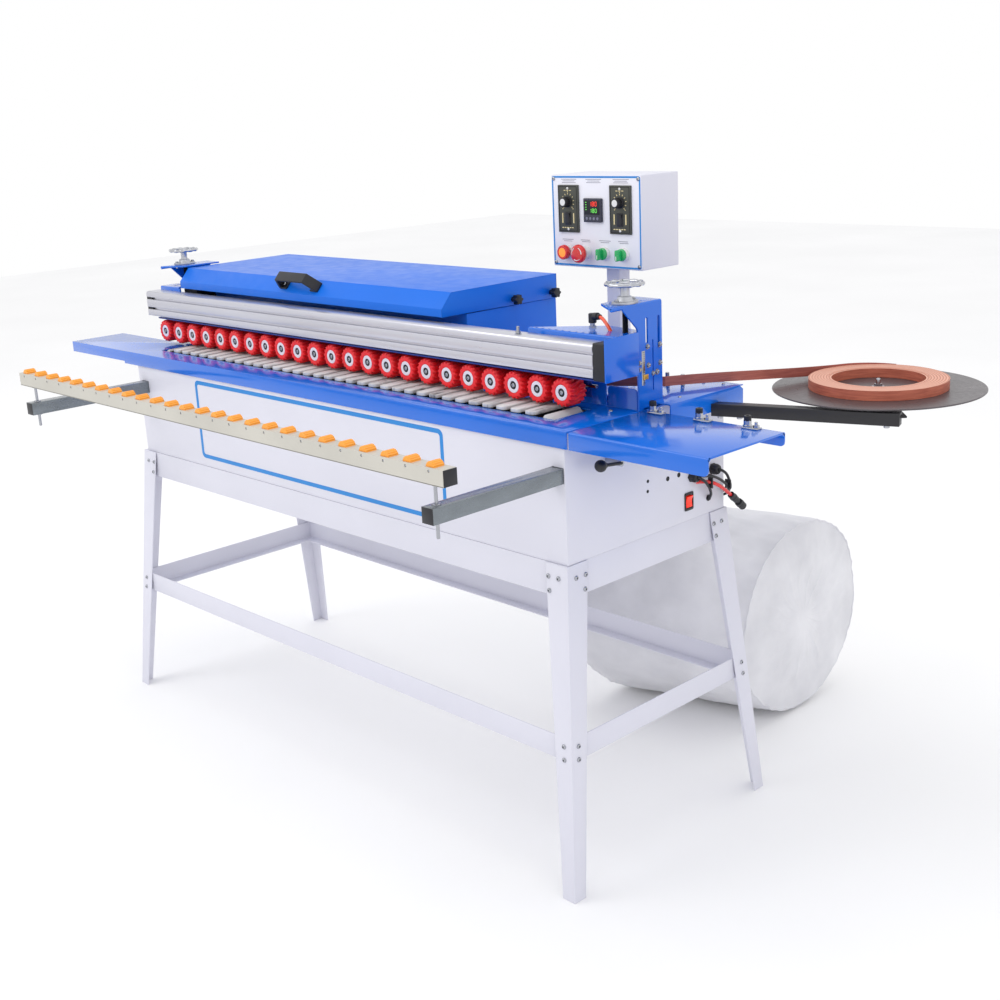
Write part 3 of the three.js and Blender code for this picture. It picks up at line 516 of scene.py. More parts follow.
def pan_screw(place, direction, radius=5.0):
    """A domed screw head with a hexagon socket."""
    dome = [(0, -0.3), (radius, -0.3), (radius, radius * 0.18), (radius * 0.86, radius * 0.42),
            (radius * 0.6, radius * 0.58), (radius * 0.42, radius * 0.6),
            (radius * 0.4, radius * 0.2), (0, radius * 0.2)]
    return turned(dome, place, direction, 14)


def socket_screw(place, direction, radius, high):
    """A cylinder-head screw with a hexagon socket."""
    head = [(0, -0.2), (radius, -0.2), (radius, high - 0.6), (radius - 0.6, high),
            (radius * 0.55, high), (radius * 0.5, high * 0.5), (0, high * 0.5)]
    return turned(head, place, direction, 16)


def hex_bolt(place, direction, radius=5.0, washer=True):
    bm = prism(circle(0, 0, radius, 6), "Z", radius * 0.15, radius * 0.95, radius * 0.1)
    if washer:
        merge(bm, drum(radius * 1.35, 0, radius * 0.18, (0, 0, 0), Z, 16))
    return aimed(bm, place, direction)


def star_knob(place, direction, radius, high):
    """A six-lobed clamping knob on a short collar."""
    head = prism(lobed(radius * 0.87, radius * 0.13, 6, 48), "Z", high * 0.35, high, radius * 0.14, 3)
    merge(head, rod((0, 0, 0), (0, 0, high * 0.4), radius * 0.5, 16))
    return aimed(head, place, direction)


def merge(bm, other, index=None):
    """Moves other into bm, with one material slot for all its faces if it is given."""
    if index is not None:
        for face in other.faces:
            face.material_index = index
    mesh = bpy.data.meshes.new("part")
    other.to_mesh(mesh)
    other.free()
    bm.from_mesh(mesh)
    bpy.data.meshes.remove(mesh)
    return bm


class Piece:
    """Collects parts, each in one of its materials, and becomes one object on a body."""

    def __init__(self, *materials):
        self.materials = materials
        self.bm = bmesh.new()

    def add(self, *parts, mat=0):
        for part in parts:
            merge(self.bm, part, mat)

    def mesh(self, name, offset=Vector((0, 0, 0))):
        """The finished mesh in metres, in the frame's axes, less an offset in millimetres."""
        for vert in self.bm.verts:
            vert.co = (vert.co + ORIGIN - offset) / 1000
        for face in self.bm.faces:
            face.smooth = True
        mesh = bpy.data.meshes.new(name)
        self.bm.to_mesh(mesh)
        self.bm.free()
        for material in self.materials:
            mesh.materials.append(material)
        mesh.set_sharp_from_angle(angle=SHARP)
        return mesh

    def done(self, name, body, slot, *replaced):
        return put(self.mesh(name), name, body, slot, *replaced)


def put(data, name, body, slot, *replaced, where=None, turn=0.0):
    """Puts a mesh or curve on a body; a shared mesh says where it goes and how it is turned."""
    piece = show(bpy.data.objects.new(name, data))
    if where is not None:
        piece.location = where
        piece.rotation_euler = (0, turn, 0)
    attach(piece, body)
    if replaced:
        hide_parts(*replaced)
    return piece


def refine(node, body, slot, bevel, materials, paint=None):
    """A CAD node's own shape with its corners rounded; paint picks a material by face centre."""
    piece = Piece(*materials)
    bm = piece.bm
    bm.from_mesh(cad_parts[node].data)
    for vert in bm.verts:
        vert.co = vert.co * 1000 - ORIGIN
    bmesh.ops.remove_doubles(bm, verts=bm.verts, dist=0.002)
    bmesh.ops.dissolve_limit(bm, angle_limit=FLAT, verts=bm.verts, edges=bm.edges)
    rounded(bm, bevel)
    if paint:
        for face in bm.faces:
            face.material_index = paint(face.calc_center_median(), face.normal)
    return piece.done(f"{node}_shell", body, slot, node)


# ---- stand: legs and angle-iron rings, with their bolts ----
STAND_TOP = span("stand_upper_frame")[5]
LEG_FOOT = {"front": span("leg_front_right")[2], "rear": span("leg_rear_right")[3],
            "right": span("leg_front_right")[1], "left": span("leg_front_left")[0]}
STAND_EDGE = {"right": -12.5, "left": -1582.5, "front": 0.0, "rear": 505.0}
LEG_BOLTS = [(24, 653), (51, 653), (49, 625), (20, 319), (20, 292)]
INWARDS = {"right": -1, "left": 1, "front": 1, "rear": -1}


def leg_edge(side, z):
    """Where a leg's outer face on that side stands at a height: the legs lean outwards."""
    lean = 1 - z / STAND_TOP
    return STAND_EDGE[side] + (LEG_FOOT[side] - STAND_EDGE[side]) * lean


for side in ("left", "right"):
    for end in ("front", "rear"):
        node = f"leg_{end}_{side}"
        refine(node, "root", "white_paint", 0.7, [WHITE])
        bolts = Piece(STEEL, DARK_STEEL)
        for offset, z in LEG_BOLTS:
            x, y = leg_edge(side, z), leg_edge(end, z)
            bolts.add(pan_screw((x + INWARDS[side] * offset, y, z), (0, -INWARDS[end], 0), 5.2),
                      pan_screw((x, y + INWARDS[end] * offset, z), (-INWARDS[side], 0, 0), 5.2))
        bolts.done(f"{node}_bolts", "root", "galvanised_steel")
for node in ("stand_upper_frame", "stand_lower_frame"):
    refine(node, "root", "white_paint", 0.8, [WHITE])

# ---- cabinet ----
CAB_FRONT = span("cabinet")[2]
CAB_FACE = -14.5
ROCKER_Y, ROCKER_Z = 376, 722
SOCKET_Y, SOCKET_Z = 443, 714
GLANDS = [(386, 774), (457, 775)]
GLAND_NUT = [(0, 0), (12.5, 0), (12.5, 3), (11.5, 4), (11.5, 5), (0, 5)]
GLAND_CAP = [(8.2, 4), (11, 4), (11, 12), (9.8, 16.5), (8.0, 18), (4.2, 18), (4.2, 14), (8.2, 14)]
SMALL_HOLES = [(245, 795, 2.6), (244, 774, 2.6), (308, 786, 4.2), (344, 786, 4.2)]
SOCKET_RIM = [(0, 0), (7, 0), (7, 1.5), (5.5, 2.2), (3.6, 2.2), (3.4, 0.6), (0, 0.6)]
FRONT_SLOTS = (-1549.6, -49.6)
FRONT_SLOT_LONG = 31.2


def cabinet_paint(centre, _normal):
    """The end glands are black; the rest of the box is white."""
    return 1 if centre.x > CAB_FACE + 1 else 0


refine("cabinet", "root", "white_paint", 0.9, [WHITE, BLACK], cabinet_paint)
trim = Piece(WHITE, BLACK, PAINTED_SHADE_AND_DARK_PRINT, STEEL, LABEL_BLUE)
for y, z in GLANDS:
    trim.add(turned(GLAND_NUT, (CAB_FACE, y, z), X, 6), turned(GLAND_CAP, (CAB_FACE, y, z), X, 24), mat=1)
    for k in range(12):
        rib = Vector((0, math.cos(math.pi * k / 6), math.sin(math.pi * k / 6)))
        foot = Vector((CAB_FACE + 5, y, z)) + rib * 10.6
        trim.add(rod(foot, foot + X * 7, 1.2, 6), mat=1)
# Dark discs set into the small holes: painted shade inside them.
for y, z, radius in SMALL_HOLES:
    trim.add(turned([(0, 0.05), (radius, 0.05), (radius, 0.5), (radius + 0.9, 0.5), (radius + 0.9, -0.4)],
                    (CAB_FACE, y, z), X, 16), mat=2)
trim.add(turned(SOCKET_RIM, (CAB_FACE, SOCKET_Y, SOCKET_Z), X, 20), mat=1)
trim.add(plate(round_rect(ROCKER_Y - 14, ROCKER_Y + 14, ROCKER_Z - 19.5, ROCKER_Z + 19.5, 3),
               [round_rect(ROCKER_Y - 11, ROCKER_Y + 11, ROCKER_Z - 14, ROCKER_Z + 14, 1.2)],
               "X", CAB_FACE, CAB_FACE + 2.4, 0.5), mat=1)
trim.add(border(-1293, -355, 702, 903, 10, (14, 7), CAB_FRONT - 0.35, CAB_FRONT + 0.2, 6), mat=4)
# Dark sheets just behind the front slots: painted shade in the openings.
for x in FRONT_SLOTS:
    trim.add(block(x, x + FRONT_SLOT_LONG, CAB_FRONT + 2.2, CAB_FRONT + 3, 842, 875), mat=2)
trim.done("cabinet_fittings", "root", "white_paint")

# ---- power rocker: a lit red key that tips in its bezel ----
ROCKER_SIDE = [(-8, -11), (3, -12.5), (2, -6), (1.5, 0), (3.2, 6), (6, 12), (-8, 11)]
key = Piece(LIT_ROCKER, RED_PLASTIC)
key.add(prism([(CAB_FACE + a, ROCKER_Z + b) for a, b in ROCKER_SIDE],
              "Y", ROCKER_Y - 9.5, ROCKER_Y + 9.5, 0.8, 3))
key.done("rocker_key", "rocker", "red_plastic", "power_rocker")

# ---- tables ----
TABLE_TOP = 947.0
SHEET = 4.0
BEND = 4.0  # outer radius of a fold in sheet metal
TABLE_SCREWS = [(-117, 247), (-52, 181), (-88, 238)]
CLAMP_XS, CLAMP_Y = (27, 139, 249), 214
CLAMP_NUT = [(0, 3), (9, 3), (9, 6), (7.4, 7), (7.4, 15), (0, 15)]
CLAMP_CAP = [(0, 14), (6.8, 14), (7, 15), (7, 22.5), (6.2, 23.7), (3.4, 23.7), (3.2, 21), (0, 21)]

refine("main_table", "root", "blue_paint", 1.3, [BLUE])
screws = Piece(STEEL, PAINTED_SHADE_AND_DARK_PRINT)
screws.add(*(pan_screw((x, y, TABLE_TOP), Z, 4.2) for x, y in TABLE_SCREWS))
screws.done("table_screws", "root", "galvanised_steel")

RT_X0, RT_X1, RT_Y0, RT_Y1, RT_LOW, _ = span("right_table")
right = Piece(BLUE, STEEL, BLACK, CHROME)
right.add(block(RT_X0, RT_X1, RT_Y0 + BEND - 0.8, RT_Y1 - BEND + 0.8, TABLE_TOP - SHEET, TABLE_TOP, 0.4))
for y in (RT_Y0 + BEND, RT_Y1 - BEND):
    right.add(rod((RT_X0, y, TABLE_TOP - BEND), (RT_X1, y, TABLE_TOP - BEND), BEND, 24, 0.5))
for y, low, radius in ((RT_Y0, RT_LOW, 11), (RT_Y1 - SHEET, 920, 9)):
    wall = corner_line([(RT_X0, low), (RT_X1, low, True), (RT_X1, TABLE_TOP - 3.4),
                        (RT_X0, TABLE_TOP - 3.4)], radius)
    right.add(prism(wall, "Y", y, y + SHEET, 0.5))
for x in CLAMP_XS:
    centre, stud = Vector((x, CLAMP_Y, TABLE_TOP)), Vector((x + 19, CLAMP_Y, TABLE_TOP))
    right.add(block(x - 9, x + 26, CLAMP_Y - 8, CLAMP_Y + 8, TABLE_TOP, TABLE_TOP + 3.2, 0.8),
              turned(CLAMP_NUT, centre, Z, 6), drum(6, 3, 8, stud, Z, 6),
              rod(stud + Z * 3, stud + Z * 14, 3.2, 16, 0.8), mat=3)
    right.add(turned(CLAMP_CAP, centre, Z, 20), mat=2)
right.done("right_table_top", "root", "blue_paint", "right_table")

# ---- conveyor: chamfered slats on a dark roller chain ----
SLAT_WIDE, SLAT_HIGH, SLAT_PITCH, SLAT_CHAMFER = 29.0, 16.0, 41.0, 4.5
CH_X0, CH_X1, CH_Y0, CH_Y1, CH_Z0, CH_Z1 = span("conveyor_chain")
LOOP_RADIUS = (CH_Z1 - CH_Z0) / 2 - SLAT_HIGH
LOOP_STRAIGHT = CH_X1 - CH_X0 - 2 * (LOOP_RADIUS + SLAT_HIGH)
LOOP_MIDDLE = Vector(((CH_X0 + CH_X1) / 2, 0, (CH_Z0 + CH_Z1) / 2))
HALF_LAP = LOOP_STRAIGHT + math.pi * LOOP_RADIUS


def loop_frame(s):
    """Where the chain line is at a distance along it, and which way is out: over the top to
    the left and round the bend, then the same again upside down."""
    way = 1 if s < HALF_LAP else -1
    s %= HALF_LAP
    if s < LOOP_STRAIGHT:
        return LOOP_MIDDLE + way * Vector((LOOP_STRAIGHT / 2 - s, 0, LOOP_RADIUS)), way * Z
    angle = math.pi / 2 + (s - LOOP_STRAIGHT) / LOOP_RADIUS
    out = way * Vector((math.cos(angle), 0, math.sin(angle)))
    return LOOP_MIDDLE - way * X * LOOP_STRAIGHT / 2 + out * LOOP_RADIUS, out


conveyor = Piece(SLAT, DARK_STEEL, PAINTED_SHADE_AND_DARK_PRINT)
count = round(2 * HALF_LAP / SLAT_PITCH)
step = 2 * HALF_LAP / count
half = SLAT_WIDE / SLAT_PITCH * step / 2 - 0.6
c = SLAT_CHAMFER
SLAT_OUTLINE = [(-half + c, CH_Y0), (half - c, CH_Y0), (half, CH_Y0 + c), (half, CH_Y1 - c),
                (half - c, CH_Y1), (-half + c, CH_Y1), (-half, CH_Y1 - c), (-half, CH_Y0 + c)]
for i in range(count):
    point, out = loop_frame((i + 0.5) * step)
    stand = Matrix.Translation(point) @ Matrix((Y.cross(out), Y, out)).transposed().to_4x4()
    conveyor.add(moved(prism(SLAT_OUTLINE, "Z", 8.5, SLAT_HIGH, 1.6, 2), stand))
    conveyor.add(moved(block(-half + 5, half - 5, CH_Y0 + 14, CH_Y1 - 14, 1.2, 8.6), stand), mat=1)
    for y in (CH_Y0 + 30, CH_Y1 - 30):
        link = block(-step / 2 + 1, step / 2 - 1, y - 6, y + 6, -5.5, 1.5, 1.2)
        conveyor.add(moved(link, stand), mat=1)
conveyor.done("conveyor_slats", "root", "slat_pad", "conveyor_chain")

# ---- housing and hood ----
HOOD_X0, HOOD_X1 = -1553.0, -500.0
HOOD_BACK, HOOD_SPLIT, HOOD_TOP = 510.0, 1099.0, 1154.0
LIP_FOOT, LIP_TOP, BEVEL_TOP = Vector((150, 1101)), Vector((150, 1119)), Vector((180, 1152))
SKIN = 2.0
HANDLE_X = -1024
HANDLE_HALF = [(48, 0), (76, 0), (76, 5), (55, 40)]
HANDLE_INSIDE = [(50, 34), (68, 5), (48, 5)]
STAR_YS, STAR_Z = (366, 490), 1113

refine("rear_housing", "root", "blue_paint", 1.2, [HOOD_BLUE])
lid = Piece(HOOD_BLUE, BLACK, PAINTED_SHADE_AND_DARK_PRINT, STEEL)
end_plate = [BEVEL_TOP, LIP_TOP, LIP_FOOT, (HOOD_BACK, HOOD_SPLIT), (HOOD_BACK, HOOD_TOP)]
for x in (HOOD_X0, HOOD_X1 - SKIN):
    lid.add(prism(end_plate, "X", x, x + SKIN, 0.6))
cover = [LIP_FOOT, (LIP_FOOT.x + SKIN, LIP_FOOT.y), (LIP_TOP.x + SKIN, LIP_TOP.y - 0.8),
         (BEVEL_TOP.x + 0.8, BEVEL_TOP.y - SKIN), (HOOD_BACK, HOOD_TOP - SKIN),
         (HOOD_BACK, HOOD_TOP), BEVEL_TOP, LIP_TOP]
lid.add(block(HOOD_X0, HOOD_X1, HOOD_BACK - SKIN, HOOD_BACK, HOOD_SPLIT, HOOD_TOP, 0.6),
        prism(cover, "X", HOOD_X0, HOOD_X1, 0.9, 3))
slope = (BEVEL_TOP - LIP_TOP).normalized()
on_bevel = Matrix.Translation((HANDLE_X, *((BEVEL_TOP + LIP_TOP) / 2))) @ Matrix(
    ((1, 0, 0), (0, slope.x, -slope.y), (0, slope.y, slope.x))).to_4x4()
handle = [*HANDLE_HALF, *((-a, b) for a, b in reversed(HANDLE_HALF)),
          *((-a, b) for a, b in reversed(HANDLE_INSIDE)), *HANDLE_INSIDE]
lid.add(moved(prism(handle, "Y", -13, 13, 1.6, 3), on_bevel), mat=1)
for side in (-1, 1):
    lid.add(moved(pan_screw((side * 62, 0, 5), Z, 4), on_bevel), mat=3)
for y in STAR_YS:
    lid.add(star_knob((HOOD_X1, y, STAR_Z), X, 12, 22), mat=1)
for x in (HOOD_X0 + 120, -1026, HOOD_X1 - 120):
    lid.add(block(x - 30, x + 30, HOOD_BACK - 4, HOOD_BACK - 0.4, HOOD_SPLIT, HOOD_SPLIT + 22, 0.6), mat=3)
lid.done("hood_cover", "hood", "blue_paint", "hood_lid")

# Dark blocks under the front of the hood: painted shade in the space below the lid.
hood_shade = Piece(PAINTED_SHADE_AND_DARK_PRINT, BLACK)
hood_shade.add(block(HOOD_X0 + 8, HOOD_X1 - 8, 226.5, 300, 1040, 1097),
         block(HOOD_X0 - 9, HOOD_X0 + 53, 166, 226, 1072, 1097))
hood_shade.done("hood_painted_shade_block", "root", "black_plastic")

# ---- towers, their slots, bolts and scale ----
TOWER = {"front": 208, "back": 280, "top": 1158, "low": 947.3}
TOWER_SLOTS = [(234, 1077, 1128, 7), (270, 1062, 1128, 7), (252, 982, 1083, 3.5)]
TOWER_NUTS = [(235, 1071, 5), (273, 1070, 5), (273, 1034, 5), (237, 1034, 5), (263, 1017, 5.5),
              (251, 1016, 4.5), (211, 1042, 4.5), (211, 1029, 4.5)]
SCREW_Y, WHEEL_Z, CARRIER_TOP = 198.0, 1196.0, 1104.0
BEARING = [(6.8, 4), (17, 4), (15, 8), (14, 13), (12.6, 14), (6.8, 14), (6.8, 4)]
SCALE_LOW, SCALE_STEP, SCALE_MARKS = 1001, 4, 16
SIDES = {1: "right", -1: "left"}


def screw_x(side):
    return middle_x(f"handwheel_{SIDES[side]}")


def tower(side):
    """A bent plate: slotted web, top with the screw's bearing, foot and back flange."""
    front, back, top, low = TOWER.values()
    out = span(f"tower_{SIDES[side]}")[1 if side > 0 else 0]
    inn = out - side * SHEET
    piece = Piece(BLUE, STEEL, CAST, BRASS, PAINTED_SHADE_AND_DARK_PRINT)
    web = corner_line([(front, low), (back, low), (back, top - 3.4), (165, top - 3.4),
                       (165, top - 8), (front, top - 50, True)], 6)
    slots = [round_rect(y - wide / 2, y + wide / 2, z0, z1, wide / 2 - 0.01)
             for y, z0, z1, wide in TOWER_SLOTS]
    screw = screw_x(side)
    reach = screw - side * 42
    bend = out - side * BEND
    shelf = corner_line([(bend + side * 0.8, 135), (out - side * 10, 135, True), (reach, 175, True),
                         (reach, back), (bend + side * 0.8, back)], 5)
    piece.add(plate(web, slots, "X", min(out, inn), max(out, inn), 0.3),
              plate(shelf, [circle(screw, SCREW_Y, 6.6, 20)], "Z", top - SHEET, top, 0.3),
              rod((bend, 135, top - BEND), (bend, back, top - BEND), BEND, 24, 0.5),
              block(out, out - side * 40, 220, back, low, low + SHEET, 0.8),
              block(inn, out - side * 20, back - SHEET, back, low + SHEET, top - SHEET, 0.8))
    oval = circle(screw, SCREW_Y, 21.5, 40, 31)
    piece.add(plate(oval, [circle(screw, SCREW_Y, 6.8, 20)], "Z", top, top + 5, 1.2),
              turned(BEARING, (screw, SCREW_Y, top), Z, 28), mat=2)
    for y in (SCREW_Y - 24, SCREW_Y + 24):
        piece.add(hex_bolt((screw, y, top + 5), Z, 4.8), hex_bolt((screw, y, top - SHEET), -Z, 4.8), mat=1)
    piece.add(*(hex_bolt((out, y, z), side * X, size * 0.8) for y, z, size in TOWER_NUTS), mat=1)
    piece.add(block(inn, out + side * 0.2, 217.5, 227.5, 996, 1064, 0.2), mat=1)
    for k in range(SCALE_MARKS):
        z = SCALE_LOW + SCALE_STEP * k
        long = 7 if k % 5 == 0 else 4
        piece.add(block(out, out + side * 0.35, 227 - long, 227, z - 0.35, z + 0.35), mat=4)
    piece.add(block(out, out + side * 1.6, 221, 236, 1007, 1017, 0.5), mat=3)
    piece.done(f"tower_{SIDES[side]}_plate", "root", "blue_paint", f"tower_{SIDES[side]}")


RIM_RADIUS, RIM_STEPS, RIM_WAVES = 35.2, 120, 11
THREAD_PITCH = 1.5


def handwheel(side):
    """A polished rim with finger waves, three flowing spokes, a hub and a threaded screw."""
    centre = Vector((screw_x(side), SCREW_Y, WHEEL_Z))
    piece = Piece(CHROME, CAST, DARK_STEEL)
    waves = TURN * RIM_WAVES * (RIM_STEPS - 1) / RIM_STEPS
    piece.add(sweep(ring(centre, X, Y, RIM_RADIUS, RIM_STEPS),
                    lambda t: 3.9 + 0.65 * math.cos(waves * t), 12, closed=True))
    for k in range(3):
        angle = TURN * k / 3 + 0.35
        ahead = Vector((math.cos(angle), math.sin(angle), 0))
        aside = Vector((-ahead.y, ahead.x, 0))
        line = smooth_line([centre + ahead * 4 - Z * 2, centre + ahead * 14 + aside * 3 - Z * 1,
                            centre + ahead * 25 - aside * 1, centre + ahead * 34.5 + Z * 0.5], 6)
        piece.add(sweep(line, lambda t: 4.6 - 1.6 * math.sin(math.pi * min(t, 0.9)), 10))
    low = TOWER["top"] + 14.3 - WHEEL_Z
    hub = [(0, low), (9, low), (8.2, low + 4), (8.4, -8), (11, -4), (11, 2), (8, 4.5), (0, 4.5)]
    piece.add(turned(hub, centre, Z, 28), mat=1)
    piece.add(drum(5.5, 4.5, 5, centre, Z, 6))
    z = CARRIER_TOP - 60 - WHEEL_Z
    thread = [(0, z)]
    while z < low - THREAD_PITCH:
        thread += [(5.1, z), (6.0, z + THREAD_PITCH / 2)]
        z += THREAD_PITCH
    piece.add(turned([*thread, (5.1, low), (0, low)], centre, Z, 14), mat=2)
    name = SIDES[side]
    piece.done(f"handwheel_{name}_wheel", f"wheel_{name}", "polished_steel", f"handwheel_{name}")


for side in SIDES:
    tower(side)
for side in SIDES:
    handwheel(side)

# ---- pressure beam ----
BEAM_X0, BEAM_X1, BEAM_Y0, BEAM_Y1, BEAM_Z0, BEAM_Z1 = span("pressure_beam")
refine("pressure_beam", "beam", "extruded_aluminium", 0.5, [ALUMINIUM])
# Dark boxes in the T-slots at the beam's left end are painted shade; an aluminium strip runs along each
# groove.
ends = Piece(PAINTED_SHADE_AND_DARK_PRINT, ALUMINIUM, BLACK)
for z in (BEAM_Z1 - 18, BEAM_Z0 + 20):
    ends.add(block(BEAM_X0 + 0.1, BEAM_X0 + 26, BEAM_Y0 + 1.2, BEAM_Y0 + 10.8, z - 4.6, z + 4.6))
    ends.add(block(BEAM_X0 + 1, BEAM_X1 - 0.5, BEAM_Y0 + 6.2, BEAM_Y0 + 6.9, z - 2.8, z + 2.8), mat=1)
ends.done("beam_slots", "beam", "extruded_aluminium")

# ---- roller carrier: shelf, end plates, swing-arm axles, air elbow and hose ----
_, CAR_X1, _, _, _, CAR_Z1 = span("roller_carrier")
ROLLER = {"z": 986.6, "radius": 29.3, "front": 115, "length": 46}
ROLLERS, FIRST_ROLLER_X, ROLLER_PITCH = 23, -123, 67.1
ROLLER_XS = [FIRST_ROLLER_X - i * ROLLER_PITCH for i in range(ROLLERS)]
SHELF = {"low": 1019.5, "high": 1023, "front": 112, "back": 190, "web_end": -108}
WEB_NOTCH = 170
RIGHT_WEB, LEFT_WEB = -2.0, span("tower_left")[0]
PLATE_LOW, PLATE_HIGH = CARRIER_TOP - 5, CARRIER_TOP - 2
spine_front = BEAM_Y1 + 0.3

carrier = Piece(BLUE, BLACK, STEEL, SHADED_BLUE, HOSE_ORANGE, PAINTED_SHADE_AND_DARK_PRINT)
car_left = BEAM_X0 + 6
shelf_left = -1622
# The shelf takes the darker blue: painted shade under the beam.
carrier.add(block(shelf_left, CAR_X1 - 3, SHELF["front"], SHELF["back"], SHELF["low"], SHELF["high"], 0.7),
            block(shelf_left, SHELF["web_end"], SHELF["back"] - 4, SHELF["back"], 967, SHELF["high"], 0.7),
            mat=3)
carrier.add(block(car_left, CAR_X1 - 3, spine_front, spine_front + 4, SHELF["low"], 1060, 0.7),
            block(-240, CAR_X1 - 2, spine_front, spine_front + 4, 1050, PLATE_HIGH - 3, 0.3),
            block(car_left, -1556, spine_front, spine_front + 4, 1050, PLATE_HIGH - 3, 0.3),
            block(CAR_X1 - 3, CAR_X1, BEAM_Y0, TOWER["front"] - 5, 1020, CAR_Z1, 0.8))
row = [circle(-222 + 18 * k, spine_front + 6, 3.4, 12) for k in range(9)]
for x0, x1 in ((-240, CAR_X1 - 2), (car_left, -1563)):
    fold = (spine_front + BEND, PLATE_HIGH - BEND)
    carrier.add(rod((x0, *fold), (x1, *fold), BEND, 24, 0.5))
# A dark strip below the row of holes in the top plate: painted shade seen through them.
carrier.add(block(-236, -70, spine_front + 4.2, spine_front + 12, PLATE_LOW - 3, PLATE_LOW + 0.4), mat=5)
right_top = corner_line([
    (-240, spine_front + 3.2), (CAR_X1 - 2, spine_front + 3.2), (CAR_X1 - 2, WEB_NOTCH),
    (RIGHT_WEB - 7, WEB_NOTCH), (RIGHT_WEB - 7, 225, True), (-40, 236, True),
    (-106, 245, True)], 5)
carrier.add(plate(right_top, [circle(screw_x(1), SCREW_Y, 6.6, 20), *row], "Z", PLATE_LOW, PLATE_HIGH, 0.2))
left_top = corner_line([
    (car_left, spine_front + 3.2), (-1563, spine_front + 3.2), (-1563, 200, True),
    (LEFT_WEB + 7, 220), (LEFT_WEB + 7, WEB_NOTCH), (LEFT_WEB - 3, WEB_NOTCH),
    (LEFT_WEB - 3, 220), (car_left, 200, True)], 5)
carrier.add(plate(left_top, [circle(screw_x(-1), SCREW_Y, 6.6, 20)], "Z", PLATE_LOW, PLATE_HIGH, 0.2))
carrier.add(block(BEAM_X1 + 0.3, CAR_X1 - 3.1, BEAM_Y0, BEAM_Y1, BEAM_Z0 - 5, BEAM_Z1 + 3, 2.2, 3), mat=1)
carrier.add(rod((-240, 120, BEAM_Z1), (-240, 120, BEAM_Z1 + 16), 3.2, 14, 0.6),
            drum(7, 0, 1.4, (-240, 120, BEAM_Z1), Z, 18),
            hex_bolt((-240, 120, BEAM_Z1 + 1.4), Z, 5.5, washer=False), mat=2)
for x in ROLLER_XS:
    carrier.add(rod((x, ROLLER["front"] + 14, ROLLER["z"]), (x, SHELF["back"] - 2, ROLLER["z"]), 5.9, 14),
                mat=2)
    # The roller brackets take the darker blue: painted shade under the beam.
    carrier.add(prism(corner_line([
        (x - 13, SHELF["low"]), (x - 13, ROLLER["z"] - 10, True), (x + 13, ROLLER["z"] - 10, True),
        (x + 13, SHELF["low"])], 9), "Y", 180, 186, 0.6), mat=3)
    carrier.add(prism(circle(x, ROLLER["z"], 9.5, 6), "Y", 176.4, 180, 0.5), mat=2)
stub = Vector((ROLLER_XS[0], 183, ROLLER["z"] + 4))
carrier.add(rod(stub, stub + X * 35, 4, 12, 0.6), mat=2)
ELBOW = Vector((-122, 212, PLATE_HIGH))
carrier.add(drum(7.5, 0, 3.5, ELBOW, Z, 6),
            rod(ELBOW + Z * 3.5, ELBOW + Z * 11, 5, 16), mat=2)
carrier.add(rod(ELBOW + Z * 9, ELBOW + Z * 28, 8.2, 20, 1.2), mat=1)
HOSE_ARC = [(0, 0, 21), (12, -2, 24), (32, -7, 21), (50, -12, 9), (60, -14, -2), (64, -15, -12)]
arc = smooth_line([ELBOW + Vector(point) for point in HOSE_ARC], 6)
carrier.add(sweep(arc, 3.6, 12), mat=4)
carrier.add(rod(arc[2], arc[8], 7.4, 18, 1.2), rod(arc[8], arc[10], 5.4, 18, 0.6), mat=1)
carrier.done("roller_carrier_frame", "beam", "blue_paint", "roller_carrier")

# ---- pressure rollers: one mesh, placed on every axle ----
LUGS = 16
TREAD = 3.4


def roller_mesh():
    """A red tyre with staggered round-cornered lugs, a white hub and its screw; front at Y = 0."""
    radius, long = ROLLER["radius"] - 0.1, ROLLER["length"]
    around, across = LUGS * 6, 12
    angles = [TURN * k / around for k in range(around)]

    def loop(y, radii):
        return [(r * math.cos(angle), y, r * math.sin(angle)) for r, angle in zip(radii, angles)]

    def tread(t):
        shift = 0.55 * math.sin(TURN * t)
        shoulder = 1.8 * max(0, abs(2 * t - 1) - 0.82) / 0.18
        lugs = [max(-1, min(1, 1.9 * math.cos(LUGS * a + shift * math.pi))) for a in angles]
        radii = [radius - shoulder - TREAD * (0.5 - 0.5 * lug) for lug in lugs]
        return loop(1.2 + (long - 2.4) * t, radii)

    front = [(16.1, 3), (16.6, 0.5), (radius - 9, 0.0), (radius - 5.5, 0.1)]
    back = [(radius - 6, long), (17, long), (6.6, long - 1)]
    tyre = shell([*(loop(y, [r] * around) for r, y in front),
                  *(tread(j / across) for j in range(across + 1)),
                  *(loop(y, [r] * around) for r, y in back)], caps=True)
    piece = Piece(RED, HUB, STEEL, PAINTED_SHADE_AND_DARK_PRINT)
    piece.add(tyre)
    rim = [(8.6, 8), (8.6, 1.2), (9.2, 0.7), (15.2, 0.7), (15.9, 1.4), (15.9, 4)]
    centre = Vector((0, 0, 0))
    piece.add(turned(rim, centre, Y, 40), mat=1)
    # A dark disc in the hub's bore: painted shade.
    piece.add(drum(8.8, 2.9, 2.2, centre, Y, 24), mat=3)
    piece.add(socket_screw(Y * 2.2, -Y, 4.4, 1.6), mat=2)
    return piece.mesh("pressure_roller", ORIGIN)


shared_roller = roller_mesh()
for i, x in enumerate(ROLLER_XS):
    put(shared_roller, f"roller_wheel_{i + 1:02d}", f"roller_{i + 1:02d}", "red_rubber",
        f"pressure_roller_{i + 1:02d}", where=at(x, ROLLER["front"], ROLLER["z"]),
        turn=math.radians(137.5 * i % 360))

